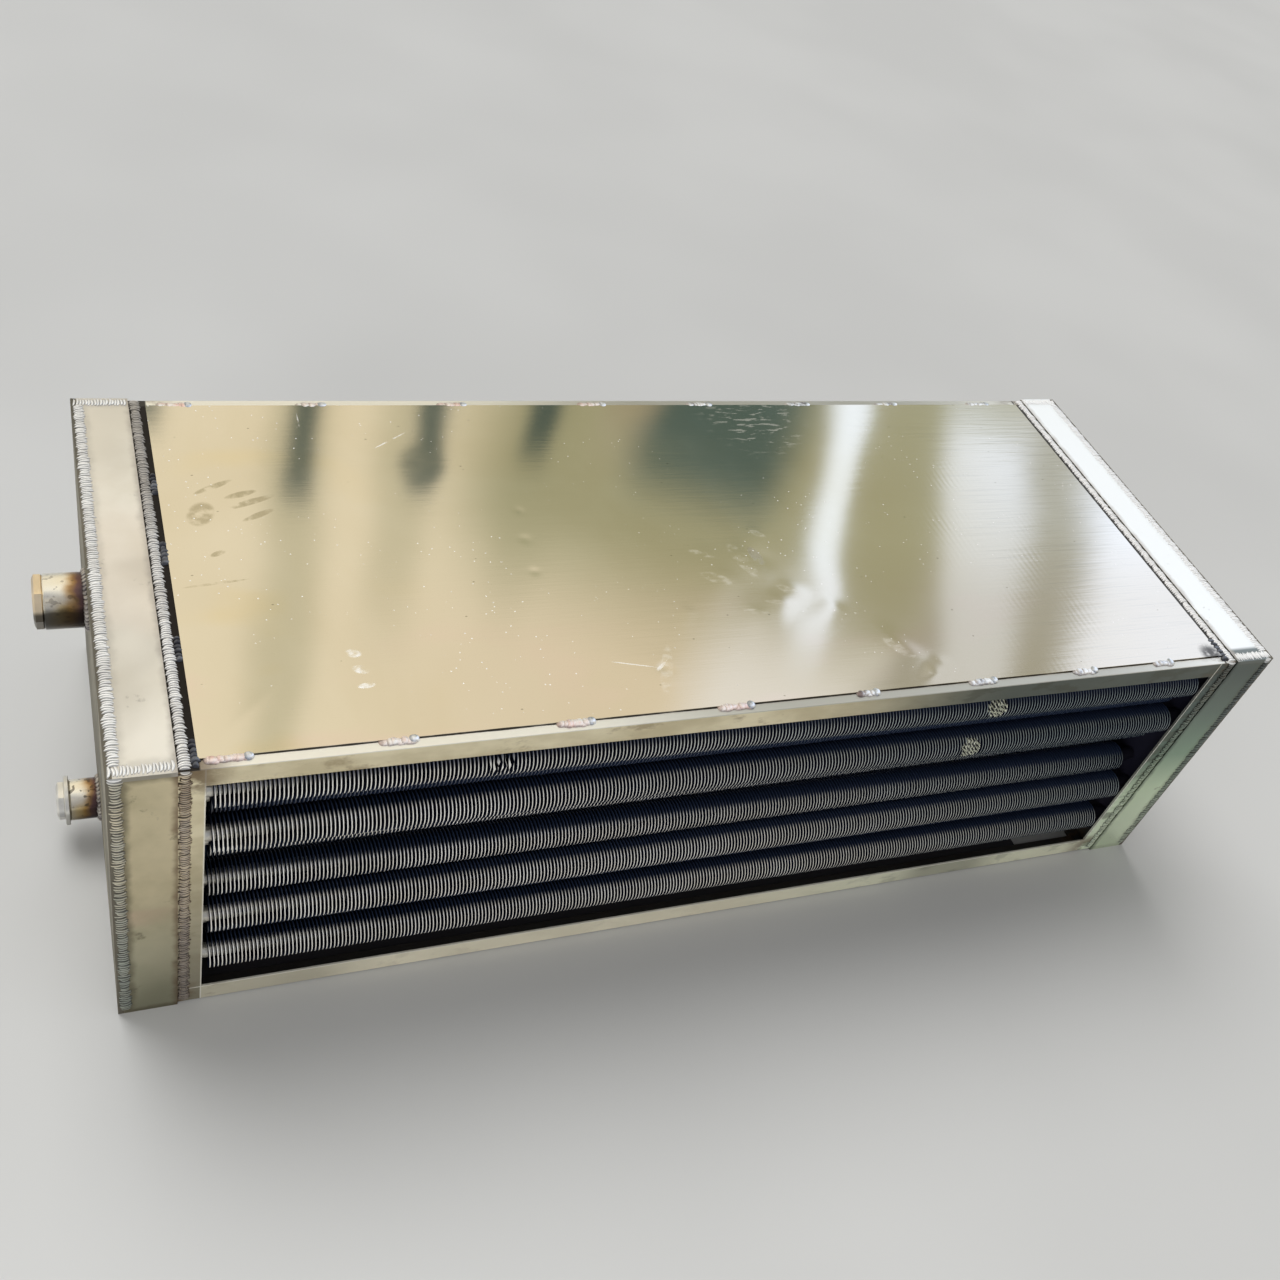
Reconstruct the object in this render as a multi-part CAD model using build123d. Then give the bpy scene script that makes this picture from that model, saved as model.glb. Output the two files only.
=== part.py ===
from build123d import *
import os

# Overall size of the box between its outer plate faces, in millimetres
length = 1416.0
depth = 560.0
height = 410.0

# Header boxes of thick plate at both ends
header_length = 61.5
plate_thick = 6.0
tube_sheet_thick = 8.0

# Angle bars and flat posts round the front and back windows
angle_leg = 25.0
angle_thick = 3.0
angle_root_radius = 3.0
angle_toe_radius = 1.5
angle_setback = 2.0
post_width = 25.0
post_thick = 3.0

# Cover sheets laid on the angles; the bottom one leaves a slot at its right end
cover_thick = 2.0
cover_side_setback = 8.5
cover_end_gap = 18.5
bottom_slot_length = 105.0

# Finned tubes in staggered columns, with an empty row at the middle height
tube_diameter = 17.2
fin_diameter = 40.5
fin_gap = 1.2
bare_end = 32.0
front_column_inset = 23.0
bank_rise = 5.0
frame_clearance = 5.0
columns_per_block = 4

# Pipe couplings and plugs on the left end plate
large_coupling_diameter = 58.6
large_coupling_bore = 44.0
large_coupling_length = 42.0
large_coupling_depth_place = 8.0
large_coupling_below_top = 57.0
large_plug_head = 10.0
large_plug_across_flats = 51.0
small_coupling_diameter = 48.0
small_coupling_bore = 35.0
small_coupling_length = 38.0
small_coupling_depth_place = -23.0
small_coupling_above_base = 57.0
small_plug_head = 9.0
small_plug_across_flats = 41.0
plug_shank_length = 18.0
plug_thread_gap = 0.3

# Weld beads on the header boxes
corner_bead_width = 15.0
inner_bead_width = 13.0
bead_proud = 2.0
inner_bead_proud = 1.0
bead_edge_gap = 0.5
bead_end_gap = 0.6

# Places worked out from the sizes above
half_length = length / 2
half_depth = depth / 2
plate_end = half_length - header_length
inner_half_depth = half_depth - plate_thick
frame_face = half_depth - angle_setback
frame_bottom = cover_thick
frame_top = height - cover_thick
frame_end = plate_end - post_width
cross_end = frame_face - post_thick
fin_end = plate_end - bare_end
tube_pitch = fin_diameter + fin_gap
bank_depth = depth - 2 * front_column_inset
column_gaps = 2 * int(bank_depth / tube_pitch)
column_pitch = bank_depth / column_gaps
half_row_pitch = (tube_pitch**2 - column_pitch**2) ** 0.5
bank_middle = height / 2 + bank_rise
bank_top = frame_top - angle_leg - frame_clearance - fin_diameter / 2
row_steps = 2 * int((bank_top - bank_middle) / (2 * half_row_pitch))

os.makedirs("parts", exist_ok=True)


def save(name, shape):
    export_step(shape, "parts/" + name + ".step")


def block(x_range, y_range, z_range):
    """A plain plate between two limits on each axis."""
    size = [high - low for low, high in (x_range, y_range, z_range)]
    middle = [(low + high) / 2 for low, high in (x_range, y_range, z_range)]
    return Pos(*middle) * Box(*size)


def mirrored(solids, plane):
    return [mirror(solid, about=plane) for solid in solids]


def angle_bar(run, flange_y=1):
    """An angle bar along +Z from the origin, its heel on the Z axis."""
    outline = Polyline(
        (0, 0),
        (angle_leg, 0),
        (angle_leg, angle_thick),
        (angle_thick, angle_thick),
        (angle_thick, angle_leg),
        (0, angle_leg),
        close=True,
    )
    section = make_face(outline)
    root = section.vertices().sort_by_distance((angle_thick, angle_thick))[0]
    section = fillet(root, angle_root_radius)
    toes = [
        section.vertices().sort_by_distance((angle_leg, angle_thick))[0],
        section.vertices().sort_by_distance((angle_thick, angle_leg))[0],
    ]
    section = fillet(toes, angle_toe_radius)
    if flange_y < 0:
        section = mirror(section, about=Plane.XZ)
    return extrude(section, amount=run, dir=(0, 0, 1))


def bead(width, rise, run):
    """A low weld bead along +X from the origin, lying on the XY plane."""
    base = Line((-width / 2, 0), (width / 2, 0))
    crown = ThreePointArc((width / 2, 0), (0, rise), (-width / 2, 0))
    section = make_face([base, crown])
    return extrude(Plane.YZ * section, amount=run, dir=(1, 0, 0))


# Header boxes, welded of six plates each; the left end plate has two ports


def header_plates(side):
    """The plates of one header box; side is -1 for left, 1 for right."""

    def along(near, far):
        return sorted((side * near, side * far))

    end = along(half_length - plate_thick, half_length)
    box = along(plate_end, half_length - plate_thick)
    sheet = along(plate_end, plate_end + tube_sheet_thick)
    full_depth = (-half_depth, half_depth)
    walls = (plate_thick, height - plate_thick)
    return {
        "header_end_plate": block(end, full_depth, (0, height)),
        "header_top_plate": block(box, full_depth, (height - plate_thick, height)),
        "header_bottom_plate": block(box, full_depth, (0, plate_thick)),
        "header_front_plate": block(box, (-half_depth, -inner_half_depth), walls),
        "header_back_plate": block(box, (inner_half_depth, half_depth), walls),
        "tube_sheet": block(sheet, (-inner_half_depth, inner_half_depth), walls),
    }


couplings = {
    "large": {
        "outer": large_coupling_diameter,
        "bore": large_coupling_bore,
        "length": large_coupling_length,
        "y": large_coupling_depth_place,
        "z": height - large_coupling_below_top,
        "head": large_plug_head,
        "flats": large_plug_across_flats,
    },
    "small": {
        "outer": small_coupling_diameter,
        "bore": small_coupling_bore,
        "length": small_coupling_length,
        "y": small_coupling_depth_place,
        "z": small_coupling_above_base,
        "head": small_plug_head,
        "flats": small_plug_across_flats,
    },
}


def outward(distance, coupling):
    """A plane facing out of the left end, a distance outside its face."""
    place = (-half_length - distance, coupling["y"], coupling["z"])
    return Plane(origin=place, x_dir=(0, 1, 0), z_dir=(-1, 0, 0))


left_plates = header_plates(-1)
for coupling in couplings.values():
    port = extrude(outward(0, coupling) * Circle(coupling["bore"] / 2), -plate_thick)
    left_plates["header_end_plate"] -= port
for side_name, plates in (("left_", left_plates), ("right_", header_plates(1))):
    for plate_name, plate in plates.items():
        save(side_name + plate_name, plate)

# Couplings with a hex plug screwed into each

for name, coupling in couplings.items():
    ring = Circle(coupling["outer"] / 2) - Circle(coupling["bore"] / 2)
    save(name + "_coupling", extrude(outward(0, coupling) * ring, coupling["length"]))
    seat = outward(coupling["length"], coupling)
    hexagon = RegularPolygon(coupling["flats"] / 2, 6, major_radius=False)
    head = extrude(seat * hexagon, coupling["head"])
    shank = extrude(seat * Circle(coupling["bore"] / 2 - plug_thread_gap), -plug_shank_length)
    save(name + "_hex_plug", head + shank)

# Window frames, an angle bar above and below between two full-height posts


def frame_angle(level, flange):
    """The front angle bar at one level, its legs facing the window."""
    heel = Plane(origin=(-frame_end, -frame_face, level), x_dir=(0, 1, 0), z_dir=(1, 0, 0))
    return heel * angle_bar(2 * frame_end, flange_y=flange)


post = block((-plate_end, -frame_end), (-frame_face, -cross_end), (frame_bottom, frame_top))
front_bars = {
    "top_angle": frame_angle(frame_top, -1),
    "bottom_angle": frame_angle(frame_bottom, 1),
    "left_post": post,
    "right_post": mirror(post, about=Plane.YZ),
}
for name, bar in front_bars.items():
    save("front_" + name, bar)
    save("back_" + name, mirror(bar, about=Plane.XZ))

# Cross angles along the tube sheets, under the ends of the cover sheets

for name, level, flange in (("top", frame_top, -1), ("bottom", frame_bottom, 1)):
    heel = Plane(origin=(-plate_end, cross_end, level), x_dir=(1, 0, 0), z_dir=(0, -1, 0))
    left_bar = (heel * angle_bar(2 * cross_end, flange_y=flange)).solid()
    save(name + "_cross_angles", Compound([left_bar, mirror(left_bar, about=Plane.YZ)]))

# Cover sheets

cover_end = plate_end - cover_end_gap
cover_side = frame_face - cover_side_setback
cover_depth = (-cover_side, cover_side)
save("top_cover_sheet", block((-cover_end, cover_end), cover_depth, (frame_top, height)))
slot_end = cover_end - bottom_slot_length
save("bottom_cover_sheet", block((-cover_end, slot_end), cover_depth, (0, frame_bottom)))

# Finned tubes, each a bare tube with the outer form of its fins; those behind
# the outer columns have few sides


def finned_tube(tube_section, fin_section):
    tube = extrude(Plane.YZ * tube_section, plate_end, both=True)
    fins = extrude(Plane.YZ * fin_section, fin_end, both=True)
    return (tube + fins).solid()


def sided_tube(tube_sides, fin_sides):
    tube_section = RegularPolygon(tube_diameter / 2, tube_sides)
    return finned_tube(tube_section, RegularPolygon(fin_diameter / 2, fin_sides))


def tube_column(index, tube):
    """One column of tubes, counted from the front; odd columns fill the gaps of even ones."""
    y = -half_depth + front_column_inset + index * column_pitch
    tubes = []
    for step in range(2 - index % 2, row_steps + 1, 2):
        for rise in (-step * half_row_pitch, step * half_row_pitch):
            tubes.append(Pos(0, y, bank_middle + rise) * tube)
    return tubes


shown_tubes = {
    "outer": finned_tube(Circle(tube_diameter / 2), Circle(fin_diameter / 2)),
    "second": sided_tube(8, 12),
    "third": sided_tube(6, 8),
}
for index, (name, tube) in enumerate(shown_tubes.items()):
    save("front_" + name + "_tubes", Compound(tube_column(index, tube)))
    save("back_" + name + "_tubes", Compound(tube_column(column_gaps - index, tube)))

core_tube = sided_tube(4, 6)
core_columns = range(len(shown_tubes), column_gaps - len(shown_tubes) + 1)
for start in range(0, len(core_columns), columns_per_block):
    tubes = []
    for index in core_columns[start : start + columns_per_block]:
        tubes += tube_column(index, core_tube)
    save("core_tubes_" + str(start // columns_per_block + 1), Compound(tubes))

# Weld beads on the header boxes; the inner ones fill the step down to the frames

corner_bead_place = half_length - bead_edge_gap - corner_bead_width / 2
edge_bead_place = half_depth - bead_edge_gap - corner_bead_width / 2
inner_bead_place = plate_end - inner_bead_width / 2
lying_end = edge_bead_place - corner_bead_width / 2 - bead_end_gap


def standing_bead(width, rise, x, face, top):
    """A bead standing on the front of the left header or of its post."""
    run = Plane(origin=(-x, -face, plate_thick), x_dir=(0, 0, 1), z_dir=(0, -1, 0))
    return (run * bead(width, rise, top - plate_thick)).solid()


def lying_bead(width, rise, x, level, end):
    """A bead along the depth on the top of the left header or frame."""
    run = Plane(origin=(-x, -end, level), x_dir=(0, 1, 0), z_dir=(0, 0, 1))
    return (run * bead(width, rise, 2 * end)).solid()


def edge_bead(y):
    """A bead along the front or back edge of the left header's top."""
    run = Plane(origin=(-half_length, y, height), x_dir=(1, 0, 0), z_dir=(0, 0, 1))
    return (run * bead(corner_bead_width, bead_proud, header_length)).solid()


inner_rise = angle_setback + inner_bead_proud
face_beads = [
    standing_bead(corner_bead_width, bead_proud, corner_bead_place, half_depth, height),
    standing_bead(inner_bead_width, inner_rise, inner_bead_place, frame_face, frame_top),
]
face_beads += mirrored(face_beads, Plane.XZ)
inner_rise = cover_thick + inner_bead_proud
top_beads = [
    lying_bead(corner_bead_width, bead_proud, corner_bead_place, height, lying_end),
    lying_bead(inner_bead_width, inner_rise, inner_bead_place, frame_top, frame_face),
    edge_bead(-edge_bead_place),
    edge_bead(edge_bead_place),
]
for name, beads in (("face", face_beads), ("top", top_beads)):
    left_beads = [part.solid() for part in beads]
    save("left_header_" + name + "_beads", Compound(left_beads))
    save("right_header_" + name + "_beads", Compound(mirrored(left_beads, Plane.YZ)))
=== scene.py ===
import math
from functools import reduce

import bmesh
import bpy
import numpy as np
from bpy.props import FloatProperty, FloatVectorProperty, IntProperty, PointerProperty
from mathutils import Matrix, Vector


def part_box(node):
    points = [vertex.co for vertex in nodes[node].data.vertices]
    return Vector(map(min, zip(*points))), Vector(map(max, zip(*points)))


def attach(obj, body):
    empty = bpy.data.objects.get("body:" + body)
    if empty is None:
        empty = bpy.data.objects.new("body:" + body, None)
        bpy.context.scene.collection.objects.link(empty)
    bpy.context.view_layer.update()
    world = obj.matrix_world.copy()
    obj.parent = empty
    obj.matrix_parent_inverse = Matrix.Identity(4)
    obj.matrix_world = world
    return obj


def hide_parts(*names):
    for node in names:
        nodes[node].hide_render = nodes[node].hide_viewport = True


bl_info = {
    "name": "Finned tube air heater",
    "version": (1, 0, 0),
    "blender": (4, 5, 0),
    "location": "View3D > Sidebar > Heater",
    "description": "Fins, weld beads, dented cover sheet and finishes of a finned tube air heater",
    "category": "Object",
}

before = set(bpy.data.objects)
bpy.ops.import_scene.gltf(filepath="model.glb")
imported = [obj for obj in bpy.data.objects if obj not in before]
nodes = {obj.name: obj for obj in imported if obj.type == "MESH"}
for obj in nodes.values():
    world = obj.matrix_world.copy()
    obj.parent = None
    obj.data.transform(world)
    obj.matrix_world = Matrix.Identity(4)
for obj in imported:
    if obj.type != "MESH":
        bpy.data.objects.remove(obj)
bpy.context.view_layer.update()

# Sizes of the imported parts

header_low, header_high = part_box("left_header_end_plate")
cover_low, cover_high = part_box("top_cover_sheet")
angle_low, angle_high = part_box("front_top_angle")
half_length = -header_low.x
half_depth = header_high.y
height = header_high.z
plate_end = -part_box("left_tube_sheet")[1].x
frame_face = -angle_low.y
frame_top = angle_high.z
window_end = angle_high.x
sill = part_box("front_bottom_angle")[1].z
seam_gap = 0.0030  # dark gap between the angles and the cover sheet that shows
cover_edge = cover_high.y - seam_gap
lower_sheet_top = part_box("bottom_cover_sheet")[1].z
bank_middle = 0.21  # height of the empty row in the tube bank
patch_reach = 0.019  # radius of a patch of knocked fins


def middle_of(node):
    low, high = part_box(node)
    return (low + high) / 2


def scaled(colour, share):
    """A darker or lighter colour of the same kind."""
    return tuple(min(1.0, c * share) for c in colour)


# Node trees


class Wire:
    """One node output, which adds Math nodes when it is used in arithmetic."""

    def __init__(self, tree, output):
        self.tree = tree
        self.output = output

    def math(self, operation, *others):
        feeds = dict(enumerate((self, *others)))
        return self.tree.add("ShaderNodeMath", {"operation": operation}, feeds)

    def __add__(self, other):
        return self.math("ADD", other)

    __radd__ = __add__

    def __sub__(self, other):
        return self.math("SUBTRACT", other)

    def __rsub__(self, other):
        return self.tree.add("ShaderNodeMath", {"operation": "SUBTRACT"}, {0: other, 1: self})

    def __mul__(self, other):
        return self.math("MULTIPLY", other)

    __rmul__ = __mul__

    def __truediv__(self, other):
        return self.math("DIVIDE", other)

    def __abs__(self):
        return self.math("ABSOLUTE")

    def at_most(self, other):
        return self.math("MINIMUM", other)

    def at_least(self, other):
        return self.math("MAXIMUM", other)

    def rise(self, low, high):
        """From 0 at low to 1 at high, smooth; low may be the larger."""
        settings = {"interpolation_type": "SMOOTHSTEP"}
        if low < high:
            feeds = {0: self, 1: low, 2: high, 3: 0.0, 4: 1.0}
        else:
            feeds = {0: self, 1: high, 2: low, 3: 1.0, 4: 0.0}
        return self.tree.add("ShaderNodeMapRange", settings, feeds)


class Tree:
    """Adds nodes to a node tree and hands back their outputs as wires."""

    def __init__(self, data):
        self.data = data
        self.colour = None

    def add(self, kind, settings=None, feeds=None, out=0):
        """A node with its settings and what feeds its inputs; hands back one output."""
        node = self.data.nodes.new(kind)
        for name, value in (settings or {}).items():
            if name == "stops":
                self.set_stops(node.color_ramp, value)
            else:
                setattr(node, name, value)
        for key, value in (feeds or {}).items():
            self.feed(node.inputs[key], value)
        return None if out is None else Wire(self, node.outputs[out])

    def feed(self, socket, value):
        if isinstance(value, Wire):
            self.data.links.new(value.output, socket)
        elif isinstance(value, tuple) and len(value) == 3 and socket.type == "RGBA":
            socket.default_value = (*value, 1.0)
        else:
            socket.default_value = value

    @staticmethod
    def set_stops(ramp, stops):
        while len(ramp.elements) < len(stops):
            ramp.elements.new(1.0)
        for element, (place, colour) in zip(ramp.elements, stops):
            element.position = place
            element.color = (*colour, 1.0) if len(colour) == 3 else colour

    def vector(self, operation, *values):
        feeds = dict(enumerate(values))
        return self.add("ShaderNodeVectorMath", {"operation": operation}, feeds)

    def join_xyz(self, x, y, z):
        return self.add("ShaderNodeCombineXYZ", None, {0: x, 1: y, 2: z})

    def shape(self, kind, feeds=None, settings=None):
        """A geometry node."""
        return self.add("GeometryNode" + kind, settings, feeds)

    def random(self, low, high, seed):
        """Another vector for each point, between two."""
        return self.add("FunctionNodeRandomValue", {"data_type": "FLOAT_VECTOR"},
                        {0: low, 1: high, "Seed": seed})

    def stored(self, geometry, name, value):
        """The geometry with a vector kept on each of its points under a name."""
        return self.shape("StoreNamedAttribute", {"Geometry": geometry, "Name": name,
                                                  "Value": value}, {"data_type": "FLOAT_VECTOR"})

    def recalled(self, name):
        """A stored vector, as a geometry node reads it."""
        return self.shape("InputNamedAttribute", {"Name": name}, {"data_type": "FLOAT_VECTOR"})

    def kept(self, name):
        """A stored vector, as a material reads it."""
        return self.add("ShaderNodeAttribute", {"attribute_name": name}, None, "Vector")

    def split(self, vector):
        outputs = self.add("ShaderNodeSeparateXYZ", None, {0: vector}).output.node.outputs
        return [Wire(self, outputs[i]) for i in range(3)]

    def blend(self, share, low, high):
        """A colour that goes from low to high."""
        return self.add("ShaderNodeMix", {"data_type": "RGBA"}, {0: share, 6: low, 7: high}, 2)

    def coat(self, share, tone):
        """Lays a tone over the colour so far, wholly where the share is 1."""
        self.colour = self.blend(share, self.colour, tone)


class Paint(Tree):
    """A procedural material on Object coordinates."""

    def __init__(self, name):
        self.material = bpy.data.materials.new(name)
        self.material.use_nodes = True
        super().__init__(self.material.node_tree)
        self.data.nodes.clear()
        self.place = self.add("ShaderNodeTexCoord", out="Object")
        self.axes = self.split(self.place)

    def stretched(self, scale):
        return self.add("ShaderNodeMapping", None, {"Vector": self.place, "Scale": scale})

    def noise(self, scale, stretch=(1, 1, 1), detail=3.0, roughness=0.55, twist=0.0):
        place = self.place if stretch == (1, 1, 1) else self.stretched(stretch)
        feeds = {"Vector": place, "Scale": scale, "Detail": detail, "Roughness": roughness,
                 "Distortion": twist}
        return self.add("ShaderNodeTexNoise", None, feeds, "Fac")

    def cells(self, scale, stretch=(1, 1, 1)):
        feeds = {"Vector": self.stretched(stretch), "Scale": scale}
        return self.add("ShaderNodeTexVoronoi", None, feeds, "Distance")

    def ramp(self, factor, stops):
        return self.add("ShaderNodeValToRGB", {"stops": stops}, {0: factor})

    def near(self, point, reach):
        """1 at a point, falling to 0 at a distance."""
        away = self.add("ShaderNodeVectorMath", {"operation": "DISTANCE"},
                        {0: self.place, 1: point}, "Value")
        return away.rise(reach, reach * 0.35)

    def smear(self, x, y, end_x, end_y, half_width):
        """1 inside a long oval between two places on the cover, 0 outside it."""
        reach = math.dist((x, y), (end_x, end_y)) / 2
        turn = math.atan2(end_y - y, end_x - x)
        feeds = {"Vector": self.place, "Location": ((x + end_x) / 2, (y + end_y) / 2, height),
                 "Rotation": (0.0, 0.0, turn), "Scale": (reach, half_width, 1.0)}
        place = self.add("ShaderNodeMapping", {"vector_type": "TEXTURE"}, feeds)
        across, along, _ = self.split(place)
        return (across * across + along * along).rise(1.1, 0.5)

    def paint_right_shade(self, share=0.9):
        """Painted shade, grey-green, over the front faces of the right half, darker upwards."""
        x, y, z = self.axes
        far = x.rise(-0.02, 0.30) * y.rise(-0.255, -0.262) * share
        tone = self.ramp(z / height, [
            (0.12, (0.88, 1.0, 0.76)), (0.36, (0.61, 0.75, 0.54)), (0.54, (0.22, 0.34, 0.25)),
            (0.75, (0.12, 0.18, 0.155)), (0.95, (0.065, 0.095, 0.092))])
        self.coat(far, tone)

    def finish(self, roughness, metallic=1.0, bumps=(), **constants):
        """The material with the colour so far; bumps are (height, strength, distance)."""
        feeds = {"Base Color": self.colour, "Roughness": roughness, "Metallic": metallic}
        normal = None
        for relief, strength, distance in bumps:
            bump = {"Height": relief, "Strength": strength, "Distance": distance}
            if normal is not None:
                bump["Normal"] = normal
            normal = feeds["Normal"] = self.add("ShaderNodeBump", None, bump)
        for name, value in constants.items():
            feeds[name.replace("_", " ")] = value
        shader = self.add("ShaderNodeBsdfPrincipled", None, feeds)
        self.add("ShaderNodeOutputMaterial", None, {"Surface": shader}, None)
        return self.material


# Finishes


def header_steel(name, dull, clean, burn, blush):
    """Satin plate, heat tinted and stained beside the beads, with painted shade low down and over
    the right end, and a painted highlight on the lid's right top.
    """
    paint = Paint(name)
    x, y, z = paint.axes
    mottle = paint.noise(7.0, detail=5.0)
    grain = paint.noise(90.0, (1, 1, 0.2), detail=2.0)
    blotch = paint.noise(2.6, twist=0.8)
    drift = paint.noise(4.0, (1, 1, 0.35))
    paint.colour = paint.blend(mottle.rise(0.36, 0.66), dull, clean)
    paint.coat(blotch.rise(0.46, 0.64) * 0.6, scaled(dull, 0.7))
    pink = drift.rise(0.52, 0.64) * 0.45
    paint.coat(pink * blush, (clean[0] * 0.95, clean[1] * 0.78, clean[2] * 0.72))
    face = (height - z).rise(0.0001, 0.0006)
    right = x.rise(0.0, 0.1)
    # Painted shade: the faces darker towards the bottom, and greener on the left
    low_down = face * z.rise(0.16, 0.0) * 0.45
    paint.coat(low_down, scaled(dull, 0.5))
    greener = face * z.rise(0.24, 0.10) * (1 - right) * 0.35
    paint.coat(greener, (0.30, 0.36, 0.30))
    wander = paint.noise(45.0) * 0.012
    # For the lid: a darker plate tone on its side faces, and a painted highlight, near white, on
    # the right part of its top
    if blush < 1.0:
        paint.coat(face, (0.50, 0.44, 0.29))
        paint.coat(right * (1 - face), (0.97, 1.0, 1.0))
    rust = abs(z - 0.182 + (mottle - 0.5) * 0.02).rise(0.020, 0.008) * (1 - right)
    paint.coat(rust * blotch.rise(0.35, 0.5) * 0.45, (0.62, 0.42, 0.32))
    # Painted shade over the right end
    paint.paint_right_shade()
    out_x = abs(x)
    inner = (out_x - plate_end + wander).rise(0.014, 0.004)
    outer = (half_length - out_x + wander).rise(0.028, 0.019)
    side = (half_depth - abs(y) + wander).rise(0.028, 0.019) * (1 - face)
    under = (height - z + wander).rise(0.020, 0.010) * face
    under = under * (half_depth - abs(y)).rise(0.0015, 0.0005)
    foot = (z + wander).rise(0.017, 0.009)
    beside = outer.at_least(side).at_least(under).at_least(foot)
    share = (0.25 + face * 0.5) * (1 - right * 0.7)
    paint.coat(beside * share, scaled(dull, 0.33))
    # On the right faces the burn beside the post is near black: painted shade
    paint.coat(inner * 0.75, paint.blend(right * face, burn, (0.05, 0.06, 0.05)))
    soot = paint.noise(24.0, detail=5.0, roughness=0.65)
    spots = soot + z.rise(0.09, 0.02) * face * 0.06
    paint.coat(spots.rise(0.64, 0.72) * 0.6, scaled(dull, 0.3))
    roughness = 0.30 + mottle * 0.16 + inner * 0.15
    bumps = [(grain, 0.06, 0.0006), (blotch, 0.25, 0.004), (soot, 0.05, 0.0008)]
    # The right tops are made less metallic so that their painted highlight shows
    return paint.finish(roughness, 0.88 - right * (1 - face) * 0.75, bumps)


def end_plate_steel():
    """Dull outer end plates, with smoke stains, and darker near their edges."""
    paint = Paint("end_plate_steel")
    _, y, z = paint.axes
    mottle = paint.noise(6.0, detail=5.0)
    smoke = paint.noise(3.0, twist=0.6)
    paint.colour = paint.blend(mottle.rise(0.35, 0.68), (0.22, 0.20, 0.15), (0.36, 0.33, 0.25))
    paint.coat(smoke.rise(0.45, 0.65) * 0.7, (0.12, 0.115, 0.09))
    edge = (half_depth - abs(y)).at_most(height - z).at_most(z)
    paint.coat(edge.rise(0.012, 0.002) * 0.6, (0.08, 0.07, 0.055))
    return paint.finish(0.5 + mottle * 0.15, 0.35, [(mottle, 0.2, 0.002)], Specular_IOR_Level=0.25)


# Marks on the cover: from x, y to x, y, and half the width
THUMB_MARKS = (
    (0.044, -0.020, 0.050, -0.054, 0.008), (-0.548, 0.129, -0.593, 0.105, 0.0045),
    (-0.524, 0.109, -0.561, 0.097, 0.005), (-0.504, 0.101, -0.564, 0.078, 0.005),
    (-0.509, 0.077, -0.546, 0.058, 0.0045), (-0.580, 0.092, -0.596, 0.052, 0.015),
    (-0.569, 0.012, -0.586, 0.004, 0.004), (-0.622, -0.042, -0.550, -0.033, 0.002),
)
# The same for chalky dabs
CHALK_MARKS = (
    (-0.474, -0.148, -0.456, -0.152, 0.006), (-0.470, -0.170, -0.452, -0.176, 0.006),
    (-0.469, -0.196, -0.450, -0.194, 0.004),
)
# The same for painted sheen on the dents: pale patches that stand for light on the creases
DENT_SHEEN = (
    (0.018, -0.010, 0.034, -0.078, 0.012), (0.050, -0.088, 0.078, -0.108, 0.007),
    (0.026, -0.112, 0.054, -0.126, 0.008), (-0.010, -0.128, 0.026, -0.134, 0.005),
    (-0.040, -0.062, 0.000, -0.084, 0.010), (-0.040, -0.022, -0.006, -0.036, 0.006),
    (0.150, -0.185, 0.184, -0.230, 0.010), (0.182, -0.244, 0.204, -0.256, 0.007),
    (-0.120, -0.170, -0.152, -0.250, 0.008), (0.056, 0.010, 0.076, -0.006, 0.006),
)
# The same for scratches
SCRATCHES = (
    (-0.379, 0.180, -0.331, 0.213, 0.0012), (-0.458, 0.252, -0.459, 0.222, 0.0009),
    (-0.200, -0.189, -0.142, -0.205, 0.0008), (-0.150, -0.211, -0.131, -0.196, 0.0022),
)


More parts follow.
